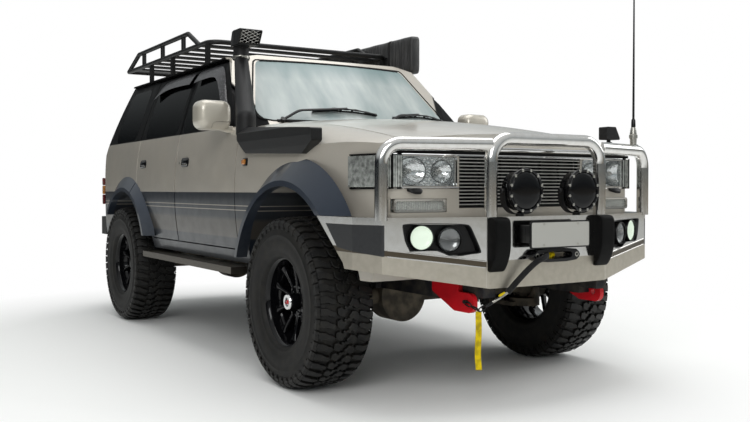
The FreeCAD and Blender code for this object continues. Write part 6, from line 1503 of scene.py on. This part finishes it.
# %% [markdown]
# ## Snorkel clamp, mouth mesh and mirrors
#
# The snorkel's head is held by a band clamp, and its mouth is closed by a coarse diamond
# mesh: two families of slanted wires in the plane of the mouth. A mirror housing is a
# moulded shell with big radii: rounded outlines that shrink towards the front, closed by
# a nearly flat face, with the glass set in from behind.

# %% Snorkel clamp and mesh
clamp = turned([(1.831, 0.0505), (1.831, 0.0532), (1.834, 0.0538), (1.847, 0.0538),
                (1.850, 0.0532), (1.850, 0.0505)], (0.435, -0.762, 0), "Z", 64)
clamp_screw = section_along([(0.490, -0.785, 1.8405), (0.490, -0.752, 1.8405)], (1, 0, 0),
                            (0, 0, 1), 0.011, 0.012, 10, 3.0)
piece("snorkel_clamp", [clamp, clamp_screw], STEEL)
MOUTH_LOW, MOUTH_HIGH = np.array([0.5435, -0.826, 1.9155]), np.array([0.5915, -0.698, 1.9885])


def mesh_wires(cell=0.039, slant=0.556, thick=0.003):
    """Wires u = u0 -+ v / slant, both ways, cut to the mouth; u runs across and v up it."""
    wide = MOUTH_HIGH[1] - MOUTH_LOW[1]
    tall = np.hypot(MOUTH_HIGH[0] - MOUTH_LOW[0], MOUTH_HIGH[2] - MOUTH_LOW[2])
    up = np.array([MOUTH_HIGH[0] - MOUTH_LOW[0], 0, MOUTH_HIGH[2] - MOUTH_LOW[2]]) / tall
    out = np.cross([0, 1.0, 0], up)
    wires = []
    for way in (-1, 1):
        for start in np.arange(-0.12, wide + 0.12, cell):
            v = np.linspace(0, tall, 40)
            u = start + way * v / slant
            inside = (u >= 0) & (u <= wide)
            if inside.sum() < 3:
                continue
            u, v = u[inside][[0, -1]], v[inside][[0, -1]]
            path = MOUTH_LOW + u[:, None] * [0, 1, 0] + v[:, None] * up + way * 0.0011 * out
            across = unit(np.cross(out, path[1] - path[0]))
            wires.append(section_along(path, across, out, thick, thick, 6))
    return wires


wires = mesh_wires()
piece("snorkel_mesh", wires, MESH_WIRE)
x, y, z = face_middles("snorkel")
second_finish("snorkel", GLOSS_BLACK, (x > 0.50) & (x < 0.589) & (np.abs(y + 0.762) < 0.063)
              & (z > 1.915) & (z < 1.9875))

# %% Door mirrors
MIRROR_GLASS = start_material("silvered mirror", "#c9cdcf", 1.0, 0.02)[0]
MIRROR_MIDDLE = (0.991, 1.4715)


def mirror_shell():
    """Rounded (y, z) outlines at growing x: rim, side wall, then a domed front face."""
    rows = ((0.490, 0.010, 0.046), (0.479, 0.004, 0.050), (0.481, 0.0, 0.052),
            (0.545, 0.0, 0.052), (0.566, 0.003, 0.052), (0.582, 0.010, 0.050),
            (0.592, 0.022, 0.044), (0.597, 0.040, 0.034), (0.599, 0.070, 0.012))
    return capped(in_plane([(rounded_outline(0.210 - 2 * shrink, 0.177 - 2 * shrink, radius,
                                             MIRROR_MIDDLE, 8), x)
                            for x, shrink, radius in rows], "YZ"))


foot = section_along([(0.540, 0.862, 1.388), (0.540, 0.905, 1.390), (0.540, 0.950, 1.400)],
                     (1, 0, 0), (0, 0, 1), (0.058, 0.056, 0.050), (0.044, 0.042, 0.034), 14, 4.0)
seam = [(0.890, 1.424), (0.905, 1.430), (0.985, 1.430), (1.010, 1.424), (1.018, 1.408),
        (1.020, 1.392)]
pane = slab(rounded_outline(0.188, 0.155, 0.044, MIRROR_MIDDLE, 8), 0.4905, 0.4875, "YZ", 0.001)
seam_line = smooth_outline(seam, closed=False)
seam_x = np.interp(seam_line[:, 1], [1.38, 1.40, 1.44], [0.572, 0.592, 0.5985])
seam_path = np.column_stack([seam_x, seam_line])
groove = section_along(seam_path, (0, 0, 1), (1, 0, 0), 0.0022, 0.0030, 6)
shells = door_pair("mirror_shell", [mirror_shell(), foot], MIRROR_PAINT,
                   "front_door", 50.0)
door_pair("mirror_pane", [pane], MIRROR_GLASS, "front_door")
door_pair("mirror_seam", [groove], SMOOTH_BLACK, "front_door")
for shell, side in zip(shells, ("left", "right")):
    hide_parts(f"mirror_{side}")
wing_glass = slab(rounded_outline(0.088, 0.056, 0.008, (0.783, 1.340), 5), 1.9602, 1.9585, "YZ")
piece("wing_mirror_pane", [wing_glass], MIRROR_GLASS)
print("mesh wires", len(wires), "mirrors done")

# %% [markdown]
# ## Antenna and bull bar details
#
# The antenna is one turned profile: a spring base in bright steel, a black ferrule and a
# thin tapering whip. On the bar, a pressed groove runs under the fog panels; two bright
# beads along its edges catch the light as the real pressing's rounded edges do.

# %% Antenna
base = turned([(1.262, 0.0), (1.262, 0.0155), (1.268, 0.0165), (1.299, 0.0180), (1.302, 0.0220),
               (1.319, 0.0222), (1.322, 0.0180), (1.330, 0.0184), (1.336, 0.0162),
               (1.342, 0.0168), (1.348, 0.0145), (1.355, 0.0140), (1.361, 0.0110),
               (1.361, 0.0)], (2.205, 0.735, 0), "Z", 40)
ferrule = turned([(1.359, 0.0), (1.359, 0.0112), (1.366, 0.0118), (1.398, 0.0108),
                  (1.405, 0.0080), (1.405, 0.0)], (2.205, 0.735, 0), "Z", 28)
whip = turned([(1.403, 0.0), (1.403, 0.0062), (1.60, 0.0056), (2.00, 0.0042), (2.30, 0.0032),
               (2.3095, 0.0018), (2.3095, 0.0)], (2.205, 0.735, 0), "Z", 16)
whip_piece = piece("antenna_whip", [whip, ferrule], SMOOTH_BLACK)
piece("antenna_spring", [base], STEEL)
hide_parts("antenna")

# %% Beads on the bar
def on_wing_side(points, off=0.0):
    """Wing-face point of (y, z) with the wing's own normal, for beads."""
    y, z = np.array(points, float).T
    return on_wing(y, z, off), np.broadcast_to(WING_OUT, (len(y), 3))


def groove_line(shift):
    """Line under the fog panels: z rises by 0.13 of the way outboard."""
    return [(y, 0.685 + 0.13 * (y - 0.381) + shift) for y in np.linspace(0.392, 0.835, 8)]


beads = [bead(groove_line(shift), on_wing_side, 0.006, 0.005) for shift in (0.013, -0.016)]
piece("bar_groove_beads", both_sides(*beads), POLISHED)
print("antenna and bar beads are in place")

# %% [markdown]
# ## Awning bag
#
# The bag is coated fabric stuffed with a rolled awning: a tall flat pack with soft corners
# that sags between its straps. It is a rounded section carried along the bag, whose walls
# move in and out by a few slow waves, and its ends are tucked in like a parcel. A loft
# serves better here than a cloth simulation, because the pack inside holds it flat.

# %% Awning bag
def coated_fabric():
    """Black coated polyester: long soft creases and a dusty top."""
    material, add, shader = start_material("coated bag fabric", "#19191a", roughness=0.5,
                                           Sheen_Weight=0.15)
    where = add("TexCoord", out="Object")
    dust = add("TexNoise", {"Vector": where, "Scale": 1 / 0.080, "Detail": 5.0})
    dust = add("MapRange", dust, 0.45, 0.7, 0.0, 0.45)
    creases = add("Mapping", {"Vector": where, "Scale": (7.0, 1.0, 1.2)})
    creases = add("TexNoise", {"Vector": creases, "Scale": 1 / 0.240, "Detail": 5.0})
    connect(shader, Base_Color=add("Mix", {0: dust, 6: "#19191a", 7: "#343331"}, **RGBA),
            Normal=add("Bump", {"Height": creases, "Distance": 14.0 * MM, "Strength": 1.0}))
    return material


BAG_FABRIC = coated_fabric()
BAG_LOW, BAG_HIGH = (np.array(corner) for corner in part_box("awning_bag"))


def awning_cover(rows=120):
    """Section (c^(2/p), s^(2/p)) with p = 6; walls sag by sines of x and of height."""
    middle, half = (BAG_LOW + BAG_HIGH) / 2, (BAG_HIGH - BAG_LOW) / 2
    t = np.linspace(0, 1, rows)
    x = BAG_LOW[0] + (BAG_HIGH[0] - BAG_LOW[0]) * t
    end = np.clip(np.minimum(t, 1 - t) / 0.012, 0, 1)
    tuck = 0.62 + 0.38 * np.sqrt(1 - (1 - end) ** 2)
    angle = np.linspace(0, 2 * np.pi, 72, endpoint=False)
    c, s = squared(np.cos(angle), 6.0), squared(np.sin(angle), 6.0)
    wave = (0.5 * np.sin(17.0 * x)[:, None] * np.sin(2.1 * angle)[None, :]
            + 0.5 * np.sin(31.0 * x + 1.3)[:, None] * np.cos(3 * angle + 0.6)[None, :])
    strap = np.exp(-((x[:, None] - STRAP_X[None, :]) / 0.018) ** 2).max(1)
    swell = 1 - 0.07 * (1 - (0.5 + 0.5 * wave)) - 0.05 * strap[:, None]
    y = middle[1] + half[1] * c[None, :] * tuck[:, None] * swell
    z = middle[2] + half[2] * s[None, :] * (0.5 + 0.5 * tuck[:, None]) * (0.25 * swell + 0.75)
    return capped(np.stack([np.broadcast_to(x[:, None], y.shape), y, z], -1))


STRAP_X = np.linspace(BAG_LOW[0] + 0.22, BAG_HIGH[0] - 0.30, 4)
cover = piece("awning_cover", [awning_cover()], BAG_FABRIC, smooth=60.0)
straps = []
for x in STRAP_X:
    loop = rounded_outline(BAG_HIGH[1] - BAG_LOW[1] - 0.002, BAG_HIGH[2] - BAG_LOW[2] - 0.002,
                           0.020, ((BAG_LOW[1] + BAG_HIGH[1]) / 2, (BAG_LOW[2] + BAG_HIGH[2]) / 2))
    path = np.column_stack([np.full(len(loop), x), loop])
    outward = unit(np.column_stack([np.zeros(len(loop)), loop - loop.mean(0)]))
    straps.append(section_along(path, (1, 0, 0), outward, 0.026, 0.0025, 8, 6.0, closed=True))
piece("awning_straps", straps, SLEEVE)
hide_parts("awning_bag")
print("awning bag", BAG_LOW, BAG_HIGH)

# %% [markdown]
# ## Seats
#
# A seat cushion is foam under cloth: it is crowned, its edges are piped and its sides pull
# in. Each pad starts as a box of superellipse sections, is swollen by cloth simulation
# under a little pressure with its movement capped, and is then shaded smooth.

# %% Seat pads
BENCH_X, BENCH_HALF = -0.645, 0.575
SEAT_CLOTH = woven("grey seat cloth", "#3c3b3a", "#2c2b2b", 4.0, 0.85)


def pad_shape(low, high, power=5.0, rows=18):
    """Superellipsoid-like pad: sections along X shrink by (1 - |2t-1|^p)^(1/p)."""
    low, high = np.array(low, float), np.array(high, float)
    t = np.linspace(-0.999, 0.999, rows)
    share = (1 - np.abs(t) ** power) ** (1 / power)
    middle, half = (low + high) / 2, (high - low) / 2
    path = np.column_stack([middle[0] + half[0] * t, np.full(rows, middle[1]),
                            np.full(rows, middle[2])])
    return section_along(path, (0, 1, 0), (0, 0, 1), 2 * half[1] * share, 2 * half[2] * share,
                         32, power)


def add_pad(name, low, high):
    obj = piece(name, [pad_shape(low, high)], SEAT_CLOTH, smooth=80.0)
    remesh = obj.modifiers.new("remesh", "REMESH")
    remesh.mode, remesh.voxel_size = "VOXEL", 0.016
    settle(obj)
    start = np.zeros(len(obj.data.vertices) * 3)
    obj.data.vertices.foreach_get("co", start)
    cloth = obj.modifiers.new("cloth", "CLOTH")
    cloth.settings.use_pressure = True
    cloth.settings.uniform_pressure_force = 4.0
    cloth.settings.effector_weights.gravity = 0.0
    cloth.point_cache.frame_start, cloth.point_cache.frame_end = 1, 20
    for step in range(1, 21):
        bpy.context.scene.frame_set(step)
    settle(obj)
    bpy.context.scene.frame_set(1)
    end = np.zeros(len(start))
    obj.data.vertices.foreach_get("co", end)
    move = (end - start).reshape(-1, 3)
    length = np.linalg.norm(move, axis=1, keepdims=True)
    move *= np.minimum(1, 0.010 / np.maximum(length, 1e-9))
    obj.data.vertices.foreach_set("co", (start + move.ravel()))
    obj.data.shade_smooth()
    return obj


def settle(obj):
    """Puts the mesh that the modifiers give into the object and removes the modifiers."""
    shape = obj.evaluated_get(bpy.context.evaluated_depsgraph_get())
    mesh = bpy.data.meshes.new_from_object(shape)
    obj.modifiers.clear()
    obj.data = mesh


SEAT_PLACES = (("seat_left", 0.145, 0.615, 0.245, (0.38,)),
               ("seat_right", -0.615, -0.145, 0.245, (-0.38,)),
               ("bench", -BENCH_HALF, BENCH_HALF, BENCH_X, (-BENCH_HALF / 2, BENCH_HALF / 2)))
pads, bases = [], []
for name, y0, y1, front, heads in SEAT_PLACES:
    pads.append(add_pad(f"{name}_cushion", (front - 0.495, y0, 0.800), (front, y1, 0.915)))
    pads.append(add_pad(f"{name}_back", (front - 0.630, y0, 0.830), (front - 0.540, y1, 1.385)))
    bases.append(box_part((front - 0.43, y0 + 0.05, 0.65), (front - 0.06, y1 - 0.05, 0.805), 0.01))
    for k, y in enumerate(heads):
        pads.append(add_pad(f"{name}_headrest_{k}", (front - 0.620, y - 0.115, 1.425),
                            (front - 0.550, y + 0.115, 1.545)))
        bases += [turned([(1.36, 0.0), (1.36, 0.006), (1.44, 0.006), (1.44, 0.0)],
                         (front - 0.585, y + shift, 0), "Z", 12) for shift in (-0.05, 0.05)]
piece("seat_bases", bases, CABIN_TRIM)
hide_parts("seats")
print("seat pads", len(pads))

# %% [markdown]
# ## Floor and light
#
# A pale floor and a plain sky of soft light show the colours about as they are written.
# Rays from the camera, straight or through glass, see the sky and the far floor as white.
# The vehicle itself is lit by, and mirrors, the real floor and sky: pale above, with a low
# dark screen behind its right side, which keeps the side windows black.

# %% Floor, sky and lamps
FLOOR_HALF = 30.0
FADE_START, FADE_END = 2.3, 3.7


def camera_sees(add):
    """1 for rays from the camera, straight or through glass, and 0 for all others."""
    return add("Math", add("LightPath", out="Is Camera Ray"),
               add("LightPath", out="Is Transmission Ray"), operation="MAXIMUM")


def add_floor():
    """Large pale floor whose colour is white to the camera apart from its shadow."""
    corners = [[(x, y, 0.0) for x in (-FLOOR_HALF, FLOOR_HALF)]
               for y in (-FLOOR_HALF, FLOOR_HALF)]
    verts, faces = grid(np.array(corners))
    mesh = bpy.data.meshes.new("floor")
    mesh.from_pydata(verts.tolist(), [], faces.tolist())
    material, add, shader = start_material("pale studio floor", "#f0f0ee", roughness=0.8)
    far = add("VectorMath", add("TexCoord", out="Object"), operation="LENGTH", out="Value")
    white = add("Emission", "#ffffff", 1.0)
    fade = product(add, camera_sees(add), add("MapRange", far, FADE_START, FADE_END))
    shown = add("MixShader", fade, shader.outputs[0], white)
    output = material.node_tree.nodes["Material Output"]
    material.node_tree.links.new(shown, output.inputs["Surface"])
    mesh.materials.append(material)
    new_object("floor", mesh)


def add_sky():
    """Sky by height: ramp of (up + 0.2) / 1.1, with a dark screen low on one side."""
    world = bpy.data.worlds.new("studio")
    bpy.context.scene.world = world
    world.use_nodes = True
    world.node_tree.nodes.clear()
    add = partial(add_node, world.node_tree)
    way = add("TexCoord", out="Generated")
    up = add("SeparateXYZ", way, out="Z")
    sky = add("ValToRGB", add("MapRange", up, -0.2, 0.9), stops=(
        (0.0, "#8d8577"), (0.17, "#a39c8e"), (0.2, "#5f6466"), (0.24, "#8f9698"),
        (0.45, "#c8cdce"), (1.0, "#f2f4f4")))
    aside = add("VectorMath", way, (-0.6, -0.8, 0.0), operation="DOT_PRODUCT", out="Value")
    screen = product(add, add("MapRange", aside, 0.35, 0.75),
                     add("MapRange", up, 0.18, 0.45, 1.0, 0.0))
    sky = add("Mix", {0: screen, 6: sky, 7: "#24272a"}, **RGBA)
    white = add("Background", "#ffffff", 1.0)
    add("OutputWorld", add("MixShader", camera_sees(add), add("Background", sky, 0.85), white))


def add_lamp(name, place, aim, size, watts):
    """Square area lamp at a place, turned towards a point."""
    data = bpy.data.lights.new(name, "AREA")
    data.size, data.energy = size, watts
    obj = new_object(name, data)
    obj.location = place
    direction = Vector(np.array(aim, float) - np.array(place, float))
    obj.rotation_euler = direction.to_track_quat("-Z", "Y").to_euler()


add_floor()
add_sky()
add_lamp("front_soft_lamp", (7.0, -5.5, 5.0), (0.8, 0, 0.9), 4.0, 260)
add_lamp("top_soft_lamp", (0.0, 0.5, 7.0), (0, 0, 1.0), 6.0, 240)
add_lamp("left_soft_lamp", (3.0, 7.5, 4.5), (0.8, 0, 1.0), 4.0, 130)
bpy.context.scene.view_settings.view_transform = "Standard"
